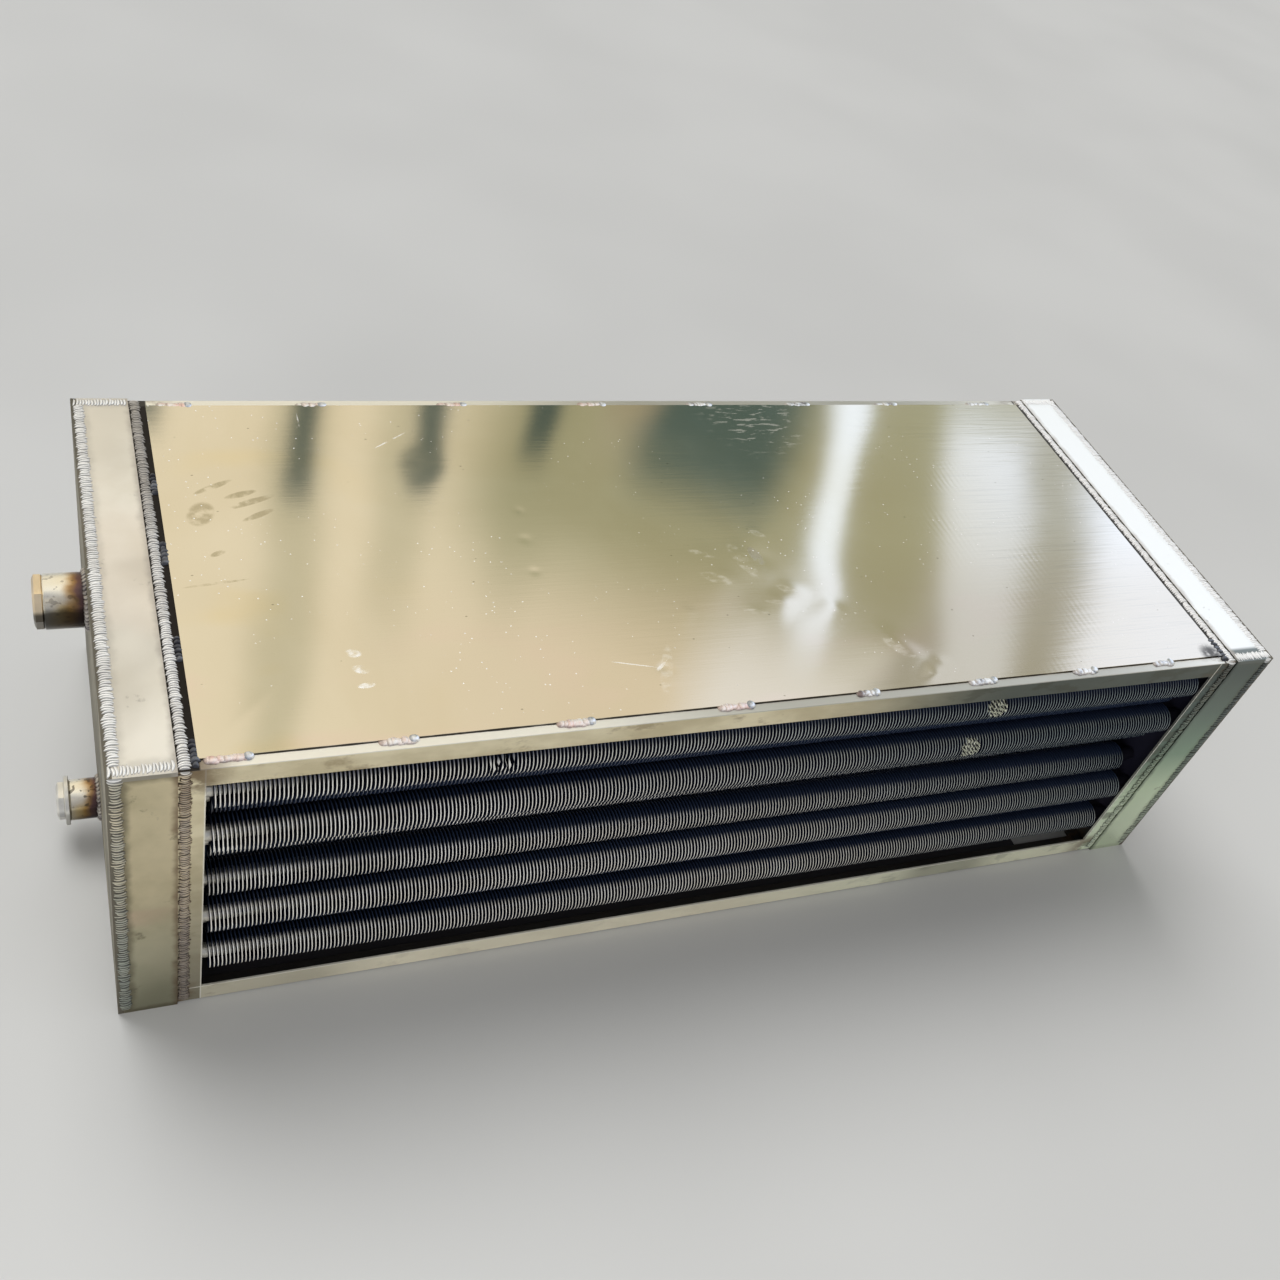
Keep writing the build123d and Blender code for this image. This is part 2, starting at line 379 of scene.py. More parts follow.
def cover_steel():
    """Bright rolled sheet with a fine grain along its length, smears and dust, a painted
    reflection whitening its right part, painted glints and sheen, and painted shade inside the
    bottom sheet.
    """
    paint = Paint("cover_steel")
    x, y, z = paint.axes
    grain = paint.noise(30.0, (0.35, 16, 1))
    fine = paint.noise(240.0, (0.1, 4, 1), detail=2.0)
    cloud = paint.noise(3.1, (1, 0.7, 1), detail=4.0, twist=0.5)
    paint.colour = paint.blend(cloud.rise(0.32, 0.68), (0.78, 0.71, 0.56), (0.85, 0.79, 0.66))
    right = x.rise(0.2, 0.6)
    # Painted reflection: the right part of the sheet is whitened
    paint.coat(right * 0.7, (0.91, 0.90, 0.88))
    rosy = paint.noise(5.0, (1, 2.4, 1), detail=2.0).rise(0.5, 0.7) * y.rise(-0.05, -0.22)
    paint.coat(rosy * (1 - right) * 0.6, (0.88, 0.72, 0.65))
    yellow = paint.noise(4.0, (1.4, 2.0, 1), detail=2.0).rise(0.52, 0.7) * x.rise(-0.35, -0.5)
    paint.coat(yellow * 0.6, (0.84, 0.72, 0.46))
    # Darker brown-grey over the front half of the sheet, except at its left end
    darker_front = y.rise(0.02, -0.18) * x.rise(-0.55, -0.25) * 0.6
    paint.coat(darker_front, (0.72, 0.64, 0.53))
    paint.coat(grain.rise(0.5, 0.75) * right * 0.4, (0.60, 0.59, 0.55))
    thumb, chalk, scratch, dent_sheen = (
        reduce(Wire.at_least, [paint.smear(*mark) for mark in marks])
        for marks in (THUMB_MARKS, CHALK_MARKS, SCRATCHES, DENT_SHEEN))
    patchy = paint.noise(60.0).rise(0.35, 0.6)
    thumb = thumb * patchy
    chalk = chalk * patchy
    paint.coat(thumb * 0.6, (0.46, 0.40, 0.26))
    spot = paint.cells(26.0, (1, 1.6, 1)).rise(0.05, 0.02)
    paint.coat(spot * 0.6, (0.25, 0.23, 0.16))
    dust = paint.cells(95.0).rise(0.11, 0.05) * paint.noise(6.0, detail=2.0).rise(0.42, 0.6)
    # Painted glints: fine pale strokes near the back middle of the sheet
    painted_glints = paint.noise(110.0, (0.4, 1.5, 1), detail=2.0).rise(0.57, 0.64)
    painted_glints = painted_glints * paint.near((0.160, 0.232, height), 0.095)
    dust = dust.at_least(chalk).at_least(scratch * patchy * 0.8).at_least(painted_glints * 0.3)
    ragged = paint.noise(70.0, (1, 1.8, 1), detail=4.0).rise(0.42, 0.66)
    # Painted sheen on the dents joins the pale, less metallic dust
    dust = dust.at_least(dent_sheen * dent_sheen * ragged * 0.26)
    # Dust, chalk and scratches, with the painted glints and painted sheen, all pale and less
    # metallic
    paint.coat(dust, (0.95, 0.93, 0.88))
    soot = paint.near((0.614, -0.262, height), 0.021) * paint.noise(90.0).rise(0.2, 0.5)
    paint.coat(soot * 0.92, (0.07, 0.065, 0.06))
    # Painted shade: the inside face of the bottom sheet is made near black, matt and less metallic
    inside = z.rise(lower_sheet_top - 0.0008, lower_sheet_top - 0.0002) * z.rise(0.2, 0.1)
    paint.coat(inside * 0.97, (0.02, 0.02, 0.03))
    roughness = 0.055 + cloud * 0.03 + thumb * 0.12 + right * 0.02 + inside * 0.5
    rolled = paint.noise(16.0, (0.5, 8, 1), detail=2.0)
    rolled = rolled * (0.3 + right * y.rise(0.26, 0.14) * 2.5)
    wavy = paint.noise(13.0)
    ribbed = abs(x - 0.41).rise(0.13, 0.03) * wavy.rise(0.35, 0.7) * 0.3
    ribbed = ribbed * y.rise(0.17, 0.10)
    ribs = (x * 740.0 + wavy * 7.0).math("SINE") * ribbed
    bumps = [(fine, 0.03, 0.0003), (rolled, 0.06, 0.0007), (ribs, 0.03, 0.0004)]
    metallic = (1 - dust * 0.9) * (1 - inside * 0.9)
    return paint.finish(roughness, metallic, bumps)


def angle_steel():
    """Rolled angle bar with brown stains, dark in its corners and beside the cover, with painted
    highlights on its top, window edges and bottom angle, and painted shade inside and over the
    right part.
    """
    paint = Paint("angle_steel")
    x, y, z = paint.axes
    mottle = paint.noise(9.0, (1, 2, 2), detail=5.0)
    stain = paint.noise(15.0, (1, 1.6, 1.6), detail=5.0, roughness=0.65)
    paint.colour = paint.blend(mottle.rise(0.35, 0.68), (0.70, 0.61, 0.40), (0.95, 0.86, 0.62))
    post = abs(x).rise(window_end - 0.0002, window_end)
    stained = stain.rise(0.56, 0.70) * (0.6 - post * 0.2)
    paint.coat(stained, (0.34, 0.25, 0.13))
    low_bar = z.rise(0.032, 0.026) * (1 - post)
    # Painted light: the bottom angle is lightened
    paint.coat(low_bar * 0.6, (1.0, 0.96, 0.80))
    # Painted shade over the right end, less on the bottom angle
    paint.paint_right_shade(0.93 - low_bar * 0.6)
    # Painted shade on the upper part of the right post
    paint.coat(post * x.rise(0.0, 0.1) * z.rise(0.12, 0.22) * 0.5, (0.05, 0.07, 0.07))
    # Dark greenish mottle over the right part
    right_dark_mottle = paint.noise(22.0, (1, 1, 2), detail=4.0).rise(0.50, 0.62) * x.rise(0.1, 0.3)
    paint.coat(right_dark_mottle * (0.6 - low_bar * 0.35), (0.07, 0.075, 0.05))
    shaded = (1 - low_bar) * (1 - post) * x.rise(0.1, 0.3) * 0.3
    shaded = shaded.at_least(low_bar * abs(x - 0.38).rise(0.11, 0.03) * 0.5)
    shaded = shaded.at_least(low_bar * x.rise(-0.40, -0.52) * 0.4)
    shaded = shaded.at_least(post * x.rise(0.0, -0.1) * z.rise(0.34, 0.0) * 0.8)
    paint.coat(shaded, (0.10, 0.095, 0.07))
    # Painted highlight: the top is near white
    top = z.rise(frame_top - 0.002, frame_top - 0.0003)
    paint.coat(top * 0.95, (0.99, 0.97, 0.90))
    # The painted highlight on the top is dimmed to grey around the middle: painted shade
    worn = top * abs(x - 0.2).rise(0.50, 0.20)
    paint.coat(worn * 0.65, (0.35, 0.34, 0.29))
    # Painted highlight: thin bright lines along the window's edges
    window = abs(abs(x) - window_end - 0.0006).rise(0.0010, 0.0005) * post
    window = window.at_least(abs(z - sill + 0.0006).rise(0.0010, 0.0005))
    paint.coat(window * (1 - top) * 0.7, (1.0, 0.98, 0.88))
    # Painted shade: the inner faces of the frame are made near black
    inside = (abs(y) - frame_face).rise(-0.0030, -0.0036) * (1 - top)
    paint.coat(inside * 0.96, (0.05, 0.046, 0.045))
    corner = abs(x).rise(0.585, 0.63) * stain.rise(0.42, 0.56)
    corner = corner * abs(z - frame_top / 2).rise(0.155, 0.185)
    paint.coat(corner * 0.8, (0.16, 0.10, 0.05))
    ragged = paint.noise(16.0, (1, 0, 0), detail=4.0) * 0.0036
    seam = (cover_edge + seam_gap - abs(y) - ragged).rise(-0.0002, 0.0003) * top
    paint.coat(seam * 0.95, (0.03, 0.026, 0.022))
    gap = abs(x).rise(cover_high.x - 0.002, cover_high.x + 0.0002) * top
    gap = gap * x.rise(-0.3, -0.5).at_least(abs(x - cover_high.x).rise(0.0016, 0.001))
    paint.coat(gap * 0.95, (0.02, 0.017, 0.016))
    roughness = 0.32 + stain * 0.18
    metallic = z.rise(0.02, 0.25) * 0.5 + 0.38
    return paint.finish(roughness, metallic, [(mottle, 0.15, 0.002), (stain, 0.08, 0.0008)])


def inside_steel():
    """Tube sheet face, dark with smoke and dust, its near-black navy painted shade."""
    paint = Paint("inside_steel")
    dust = paint.noise(8.0, detail=4.0)
    # Painted shade: near-black navy colours for the shade inside the heater
    paint.colour = paint.blend(dust.rise(0.35, 0.7), (0.022, 0.022, 0.040), (0.05, 0.046, 0.065))
    return paint.finish(0.6 + dust * 0.15, 0.2, [(dust, 0.1, 0.002)], Specular_IOR_Level=0.2)


def ripple_relief(paint):
    """Painted shade in the valleys behind each ripple and along the toes, and a painted highlight
    on its crest.
    """
    along, across, _ = paint.split(paint.kept("ripple"))
    wobble = (paint.noise(140.0, detail=2.0) - 0.5) * 0.5
    valley = (along + wobble).rise(-0.05, -0.5)
    toe = (abs(across) + wobble).rise(0.72, 0.95)
    crest = 1 - abs(along - 0.35 + wobble).rise(0.05, 0.4)
    return valley.at_least(toe), crest


def bead_steel():
    """Weld metal, grey and brown on the faces, with a painted highlight on the top edges and
    crests, and painted shade in its valleys and over the right end.
    """
    paint = Paint("bead_steel")
    x, y, z = paint.axes
    blotch = paint.noise(26.0)
    fine = paint.noise(320.0)
    long_way = paint.noise(11.0)
    inner = abs(x).rise(plate_end + 0.004, plate_end + 0.0005)
    top = z.rise(frame_top - 0.006, frame_top - 0.0005)
    right = x.rise(-0.1, 0.1)
    cool = paint.ramp(long_way, [(0.34, (0.46, 0.43, 0.33)), (0.47, (0.74, 0.66, 0.48)),
                                 (0.58, (0.52, 0.50, 0.40)), (0.68, (0.80, 0.72, 0.54))])
    warm = paint.ramp(blotch, [(0.32, (0.38, 0.28, 0.18)), (0.46, (0.76, 0.62, 0.42)),
                               (0.58, (0.50, 0.40, 0.30)), (0.70, (0.84, 0.74, 0.56))])
    paint.colour = paint.blend(inner, cool, warm)
    lower = (z + (long_way - 0.5) * 0.2).rise(0.34, 0.04)
    paint.coat(lower * 0.75, paint.blend(inner, (0.22, 0.28, 0.25), (0.16, 0.13, 0.12)))
    # Painted shade over the right end
    paint.paint_right_shade(0.85)
    # Painted shade: the right beads darker upwards
    right_bead_shade = right * (1 - inner) * (0.4 + z * 1.2)
    paint.coat(right_bead_shade, (0.05, 0.07, 0.07))
    # Painted highlight: the bead tops are near white, whiter on the right, and made less metallic
    # below so that it shows
    bright = paint.blend(blotch.rise(0.35, 0.65), (0.84, 0.83, 0.81), (0.99, 0.99, 0.98))
    bright = paint.blend(right * 0.9, bright, (1.0, 1.0, 1.0))
    sooty = inner * (1 - right) * (y + (long_way - 0.5) * 0.4).rise(-0.10, 0.16)
    bright = paint.blend(sooty * 0.75, bright, (0.26, 0.23, 0.19))
    paint.coat(top * 0.92, bright)
    # Painted highlight on the ripple crests and painted shade in their valleys
    dark, crest = ripple_relief(paint)
    dull = (sooty * 0.7).at_least(right * (1 - top) * 0.75)
    paint.coat(crest * 0.35 * (1 - dull), (0.95, 0.94, 0.90))
    paint.coat(dark * (0.85 - top * 0.3 - right * top * 0.45), (0.07, 0.065, 0.06))
    roughness = 0.26 + blotch * 0.2
    metallic = 0.9 - top * 0.45 - right * top * 0.3
    return paint.finish(roughness, metallic, [(fine, 0.3, 0.0006)])


def tack_steel(name, dark, pale, rough, cool=0.0):
    """Short welds: burnt, or bright with a pink and blue tint."""
    paint = Paint(name)
    blotch = paint.noise(70.0)
    middle = tuple((a + b) / 2 for a, b in zip(dark, pale))
    paint.colour = paint.ramp(blotch, [(0.34, dark), (0.5, middle), (0.66, pale)])
    spotted = paint.ramp(blotch, [(0.38, (0.07, 0.08, 0.09)), (0.47, (0.72, 0.77, 0.82)),
                                  (0.62, (1.0, 1.0, 1.0))])
    paint.coat(paint.axes[0].rise(-0.12, 0.12) * cool, spotted)
    # Painted highlight on the ripple crests and painted shade in their valleys
    shade, crest = ripple_relief(paint)
    paint.coat(crest * 0.3, scaled(pale, 1.15))
    paint.coat(shade * 0.5, scaled(dark, 0.25))
    return paint.finish(rough + blotch * 0.2, 0.85, [(blotch, 0.3, 0.001)])


def fin_steel(name, dark, pale, far, hollow, roughness, metallic, gloss):
    """Fin strip, with a painted highlight line on its upper front, and painted shade towards the
    right and upwards, on its back and lower parts, behind and between the rows and under the top
    angle.
    """
    paint = Paint(name)
    x, y, z = paint.axes
    dirt = paint.noise(30.0, (0.6, 1, 1), detail=4.0)
    paint.colour = paint.blend(dirt.rise(0.35, 0.7), dark, pale)
    # Painted shade: darker towards the right and upwards
    fade = x + (z - bank_middle) * 1.7 + (dirt - 0.5) * 0.2
    paint.coat(fade.rise(-0.35, 0.70), far)
    _, sideways, upright = paint.split(paint.kept("around"))
    outward = sideways * y.math("SIGN")
    # Painted highlight: a bright line along the upper front of each row
    line = abs(outward - 0.62).rise(0.11, 0.03) * fade.rise(0.1, -0.3)
    paint.coat(line * 0.5, scaled(pale, 1.3))
    # Painted shade in the hollow colour: on the fins' back and lower parts, on the tubes behind
    # and between the outer rows, and under the top angle
    paint.coat(outward.rise(0.60, 0.15) * upright.rise(-0.1, 0.3), hollow)
    paint.coat(upright.rise(-0.2, -0.8) * 0.75, hollow)
    deep = abs(y)
    behind = deep.rise(0.250, 0.243)
    between = deep.rise(0.259, 0.2565) * abs(z - bank_middle).rise(0.066, 0.074)
    paint.coat(behind.at_least(between) * 0.9, hollow)
    paint.coat(z.rise(0.362, 0.369) * 0.8, hollow)
    ragged = paint.noise(110.0, detail=2.0)
    worn = reduce(Wire.at_least, [
        (paint.near(point, patch_reach) + ragged - 0.5).rise(0.25, 0.4) for point in WORN_PATCHES])
    one = ((x + z * 0.9) * 1250.0 + ragged * 3.0).math("SINE")
    two = ((x - z * 0.9) * 1250.0 + ragged * 3.0).math("SINE")
    net = one.at_least(two).rise(0.45, 0.85)
    paint.coat(worn, paint.blend(net, (0.03, 0.03, 0.035), (0.80, 0.82, 0.66)))
    return paint.finish(roughness + dirt * 0.15, metallic, [(dirt, 0.1, 0.001)],
                        Specular_IOR_Level=gloss)


def bare_tube_steel():
    """Tubes at the ends of the fins, bright at the left, with painted shade darkening them towards
    the right.
    """
    paint = Paint("bare_tube_steel")
    dirt = paint.noise(40.0)
    paint.colour = paint.blend(dirt.rise(0.35, 0.7), (0.74, 0.70, 0.60), (1.0, 0.97, 0.88))
    # Painted shade: darker towards the right
    paint.coat(paint.axes[0].rise(-0.3, 0.3), (0.03, 0.03, 0.045))
    return paint.finish(0.22 + dirt * 0.16, 0.5)


def core_steel(pitch):
    """Fins of the hidden tubes as pale rings with painted shade, dark navy, between them."""
    paint = Paint("core_steel")
    turn = (paint.axes[0] / pitch + 0.5).math("FRACT")
    ridge = abs(turn - 0.5).rise(0.22, 0.08)
    dirt = paint.noise(30.0)
    pale = paint.blend(dirt, (0.40, 0.44, 0.50), (0.58, 0.62, 0.68))
    # Painted shade: dark navy between the pale rings
    paint.colour = paint.blend(ridge, (0.04, 0.06, 0.11), pale)
    return paint.finish(0.6, 0.3, [(ridge, 0.6, 0.0015)], Specular_IOR_Level=0.1)


def coupling_steel(name, foot_x, length, axis, burnt):
    """Turned pipe coupling, gold and brown towards its weld, burnt at the foot, with a painted
    highlight on its upper back side and painted shade on its lower front side.
    """
    paint = Paint(name)
    x, y, z = paint.axes
    along = (foot_x - x) / length
    wave = paint.noise(34.0, (0.6, 1, 1))
    heat = along + (wave - 0.5) * 0.55
    paint.colour = paint.ramp(heat, [
        (0.0, (0.05, 0.04, 0.05)), (0.22, (0.16, 0.09, 0.08)), (0.42, (0.50, 0.30, 0.10)),
        (0.62, (0.76, 0.60, 0.32)), (0.9, (0.80, 0.76, 0.66))])
    turned = paint.noise(300.0, (4, 0.2, 0.2), detail=1.0)
    # Painted highlight on the upper back side, near white
    upper = (z - axis[2]) * 0.8 + (y - axis[1]) * 0.6 + (wave - 0.5) * 0.016
    pale = upper.rise(-0.006, 0.010) * heat.rise(0.3, 0.6)
    paint.coat(pale * 0.8, (1.0, 0.97, 0.88))
    scorch = paint.noise(130.0, detail=1.0).rise(0.60, 0.66) * heat.rise(0.15, 0.35)
    paint.coat(scorch * (1.3 - burnt), (0.06, 0.045, 0.03))
    # Painted shade: the lower front side is made near black, as strongly as burnt says
    paint.coat(upper.rise(-0.001, -0.010) * burnt, (0.010, 0.008, 0.007))
    return paint.finish(0.16 + wave * 0.12, 1.0, [(turned, 0.1, 0.0004)])


def plug_steel(name, axis, pale, dark):
    """Hex plug, pale on its upper flats, with painted shade on its lower ones."""
    paint = Paint(name)
    _, y, z = paint.axes
    scratch = paint.noise(120.0, (1, 4, 1))
    blotch = paint.noise(40.0)
    paint.colour = paint.blend(blotch.rise(0.35, 0.7), scaled(pale, 0.8), pale)
    upper = (z - axis[2]) * 0.8 + (y - axis[1]) * 0.6
    # Painted shade on the lower front flats
    paint.coat(upper.rise(-0.006, -0.012) * dark, (0.055, 0.05, 0.04))
    return paint.finish(0.28 + scratch * 0.12, 0.85, [(scratch, 0.12, 0.0005)])


# Piece making


def new_object(name, data):
    """An object in the scene."""
    item = bpy.data.objects.new(name, data)
    bpy.context.scene.collection.objects.link(item)
    return item


def mesh_of(name, made):
    """The mesh of what was made, which is then let go."""
    mesh = bpy.data.meshes.new(name)
    made.to_mesh(mesh)
    made.free()
    return mesh


def new_tree(name, inputs):
    """A geometry node group with named inputs after its Geometry; None stands for a material."""
    group = bpy.data.node_groups.new(name, "GeometryNodeTree")
    kinds = {float: "NodeSocketFloat", int: "NodeSocketInt", type(None): "NodeSocketMaterial"}
    for side in ("INPUT", "OUTPUT"):
        group.interface.new_socket("Geometry", in_out=side, socket_type="NodeSocketGeometry")
    for label, default in inputs.items():
        socket = group.interface.new_socket(label, in_out="INPUT",
                                            socket_type=kinds[type(default)])
        if default is not None:
            socket.default_value = default
    tree = Tree(group)
    entry = group.nodes.new("NodeGroupInput")
    return group, tree, {s.name: Wire(tree, s) for s in entry.outputs if s.name}


def grow(group, seed_mesh, values):
    """The plain mesh that a geometry node group makes from a seed mesh."""
    seed = new_object("seed", seed_mesh)
    modifier = seed.modifiers.new("grow", "NODES")
    modifier.node_group = group
    for item in group.interface.items_tree:
        if item.in_out == "INPUT" and item.name in values:
            modifier[item.identifier] = values[item.name]
    graph = bpy.context.evaluated_depsgraph_get()
    mesh = bpy.data.meshes.new_from_object(seed.evaluated_get(graph), depsgraph=graph)
    bpy.data.objects.remove(seed)
    return mesh


def point_mesh(points):
    mesh = bpy.data.meshes.new("points")
    mesh.from_pydata([tuple(p) for p in points], [], [])
    return mesh


def bead_paths(runs):
    """Seed lines of beads: a run is its points, the ways out, its width, rise and pitch."""
    points, edges, ups, sizes = [], [], [], []
    for run_points, run_ups, width, rise, pitch in runs:
        first = len(points)
        points += [tuple(p) for p in run_points]
        edges += [(i, i + 1) for i in range(first, len(points) - 1)]
        ups += [tuple(up) for up in run_ups]
        sizes += [(width, rise, pitch)] * len(run_points)
    mesh = bpy.data.meshes.new("paths")
    mesh.from_pydata(points, edges, [])
    for name, values in (("up", ups), ("bead_size", sizes)):
        attribute = mesh.attributes.new(name, "FLOAT_VECTOR", "POINT")
        attribute.data.foreach_set("vector", [c for value in values for c in value])
    return mesh


def add_piece(name, mesh, replaces=(), smooth_angle=40):
    """A visible piece on the body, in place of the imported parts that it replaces."""
    mesh.name = name
    mesh.shade_smooth()
    mesh.set_sharp_from_angle(angle=math.radians(smooth_angle))
    piece = new_object(name, mesh)
    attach(piece, "root")
    if replaces:
        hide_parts(*replaces)


def vertices_of(mesh):
    points = np.empty(len(mesh.vertices) * 3)
    mesh.vertices.foreach_get("co", points)
    return points.reshape(-1, 3)


def tube_places(node, steps):
    """Axes of a node's tubes, from its box; steps are the rows in half pitches."""
    low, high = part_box(node)
    radius = (high.y - low.y) / 2
    middle_z = (low.z + high.z) / 2
    half_pitch = ((high.z - low.z) / 2 - radius) / max(steps)
    middle_y = (low.y + high.y) / 2
    return [Vector((0, middle_y, middle_z + step * half_pitch)) for step in steps], radius


def fin_group():
    """Annular fins along X on a bare tube, set on each seed point."""
    group, tree, given = new_tree("finned_tube", {
        "Fin Zone": 1.2, "Pitch": 0.0042, "Fin Radius": 0.02, "Fin Thickness": 0.0009,
        "Tube Radius": 0.0086, "Tube Length": 1.29, "Sides": 20, "Lean": 0.04, "Seed": 1,
        "Edge Steel": None, "Face Steel": None, "Tube Steel": None})
    quarter = (0.0, math.pi / 2, 0.0)
    filled = {"fill_type": "NGON"}
    fin = tree.shape("MeshCylinder", {"Vertices": given["Sides"], "Radius": given["Fin Radius"],
                                      "Depth": given["Fin Thickness"]}, filled)
    fin = tree.shape("Transform", {"Geometry": fin, "Rotation": quarter})
    count = (given["Fin Zone"] / given["Pitch"]).math("FLOOR") + 1
    start = tree.join_xyz((count - 1) * given["Pitch"] * -0.5, 0.0, 0.0)
    step = tree.join_xyz(given["Pitch"], 0.0, 0.0)
    line = tree.shape("MeshLine", {"Count": count, "Start Location": start, "Offset": step})
    turn = tree.random(tree.join_xyz(-3.14, -0.007, given["Lean"] - 0.007),
                       tree.join_xyz(3.14, 0.007, given["Lean"] + 0.007), given["Seed"])
    upset = tree.add("FunctionNodeRandomValue", {"data_type": "FLOAT"},
                     {2: 0.985, 3: 1.0, "Seed": given["Seed"] + 7}, 1)
    fins = tree.shape("InstanceOnPoints", {
        "Points": line, "Instance": fin, "Rotation": turn,
        "Scale": tree.join_xyz(1.0, upset, upset)})
    bare = tree.shape("MeshCylinder", {"Vertices": 20, "Radius": given["Tube Radius"],
                                       "Depth": given["Tube Length"]}, filled)
    bare = tree.shape("Transform", {"Geometry": bare, "Rotation": quarter})
    join = tree.shape("JoinGeometry", {0: fins})
    tree.feed(join.output.node.inputs[0], bare)
    one = tree.shape("RealizeInstances", {"Geometry": join})
    radius = tree.join_xyz(given["Fin Radius"], given["Fin Radius"], given["Fin Radius"])
    around = tree.vector("DIVIDE", tree.shape("InputPosition"), radius)
    one = tree.stored(one, "around", around)
    tubes = tree.shape("InstanceOnPoints", {"Points": given["Geometry"], "Instance": one})
    whole = tree.shape("RealizeInstances", {"Geometry": tubes})
    flat = abs(tree.split(tree.shape("InputNormal"))[0]).math("GREATER_THAN", 0.5)
    _, sideways, upright = tree.split(tree.recalled("around"))
    on_tube = (sideways * sideways + upright * upright).math("LESS_THAN", 0.5) * (1 - flat)
    for steel, share in (("Edge Steel", True), ("Face Steel", flat), ("Tube Steel", on_tube)):
        whole = tree.shape("SetMaterial", {
            "Geometry": whole, "Selection": share, "Material": given[steel]})
    tree.add("NodeGroupOutput", None, {0: whole}, None)
    return group


def ripple_group():
    """Overlapping curved ripples along seed paths, their backs facing out."""
    group, tree, given = new_tree("weld_ripples", {
        "Overlap": 0.68, "Curl": 0.6, "Lean": 0.3, "Unevenness": 0.1, "Seed": 1, "Steel": None})
    dome = tree.shape("MeshUVSphere", {"Segments": 12, "Rings": 6, "Radius": 1.0})
    position = tree.shape("InputPosition")
    dome = tree.stored(dome, "ripple", position)
    along, across, _ = tree.split(position)
    bend = tree.join_xyz(across * across * given["Curl"] * -1.0, 0.0, along * given["Lean"])
    dome = tree.shape("SetPosition", {"Geometry": dome, "Offset": bend})
    curve = tree.shape("MeshToCurve", {"Mesh": given["Geometry"]})
    width, rise, pitch = tree.split(tree.recalled("bead_size"))
    points = tree.shape("CurveToPoints", {"Curve": curve, "Length": pitch}, {"mode": "LENGTH"})
    tangent = Wire(tree, points.output.node.outputs["Tangent"])
    shift = tree.random((-0.0004, -0.0004, -0.0003), (0.0004, 0.0004, 0.0001), given["Seed"] + 5)
    points = tree.shape("SetPosition", {"Geometry": points, "Offset": shift})
    aim = tree.add("FunctionNodeAxesToRotation", {"primary_axis": "Z", "secondary_axis": "X"},
                   {0: tree.recalled("up"), 1: tangent})
    swing = tree.random((0.0, 0.0, -0.14), (0.0, 0.0, 0.14), given["Seed"] + 3)
    aim = tree.add("FunctionNodeRotateRotation", {"rotation_space": "LOCAL"}, {0: aim, 1: swing})
    low = 1 - given["Unevenness"]
    size = tree.random(tree.join_xyz(low, low, low), (1.0, 1.0, 1.0), given["Seed"])
    full = tree.join_xyz(pitch * given["Overlap"], width * 0.5, rise * 0.95)
    ripples = tree.shape("InstanceOnPoints", {
        "Points": points, "Instance": dome, "Rotation": aim,
        "Scale": tree.vector("MULTIPLY", size, full)})
    whole = tree.shape("RealizeInstances", {"Geometry": ripples})
    whole = tree.shape("SetMaterial", {"Geometry": whole, "Material": given["Steel"]})
    tree.add("NodeGroupOutput", None, {0: whole}, None)
    return group


def straight(start, end, out, width, rise, pitch):
    """A straight run of a bead, with the way out from its plate."""
    return [start, end], [out, out], width, rise, pitch


def lay_ripples(name, group, runs, steel, seed, replaces=(), **values):
    """One piece of ripples along the runs; values are further inputs of the group."""
    values.update({"Steel": finish[steel], "Seed": seed})
    add_piece(name, grow(group, bead_paths(runs), values), replaces, 60)


# Settings of the pieces


class HeaterFins(bpy.types.PropertyGroup):
    pitch: FloatProperty(
        name="Fin pitch", description="Distance between fins", default=0.0042, unit="LENGTH")
    thickness: FloatProperty(
        name="Fin edge", description="Thickness of a fin's edge", default=0.0011, unit="LENGTH")
    tube_radius: FloatProperty(
        name="Tube radius", description="Radius of the bare tube", default=0.0086, unit="LENGTH")
    lean: FloatProperty(
        name="Lean", description="Lean of the wound fins", default=0.04, subtype="ANGLE")
    outer_sides: IntProperty(
        name="Outer fin sides", description="Sides of a fin in the window", default=20)
    second_sides: IntProperty(
        name="Second fin sides", description="Sides of a fin behind", default=14)


class HeaterWelds(bpy.types.PropertyGroup):
    corner_pitch: FloatProperty(
        name="Corner ripple pitch",
        description="Distance between ripples of the upright corner beads",
        default=0.004, unit="LENGTH")
    frame_pitch: FloatProperty(
        name="Frame ripple pitch",
        description="Distance between ripples of the upright frame beads",
        default=0.003, unit="LENGTH")
    flat_pitch: FloatProperty(
        name="Flat ripple pitch", description="Distance between ripples of the flat beads",
        default=0.003, unit="LENGTH")
    corner_width: FloatProperty(
        name="Corner bead width", description="Width of the corner beads",
        default=0.015, unit="LENGTH")
    inner_width: FloatProperty(
        name="Frame bead width", description="Width of the frame beads",
        default=0.0145, unit="LENGTH")
    stitch_width: FloatProperty(
        name="Stitch width", description="Width of the cover stitches",
        default=0.013, unit="LENGTH")


class HeaterCover(bpy.types.PropertyGroup):
    grid: FloatProperty(
        name="Grid", description="Mesh size of the sheet", default=0.005, unit="LENGTH")
    dent_grid: FloatProperty(
        name="Dent grid", description="Mesh size where the sheet is dented",
        default=0.002, unit="LENGTH")
    dent_depth: FloatProperty(
        name="Dent depth", description="Depth of the creases", default=0.00038, unit="LENGTH")
    wave_depth: FloatProperty(
        name="Wave depth", description="Depth of the sheet's slow waves",
        default=0.00022, unit="LENGTH")


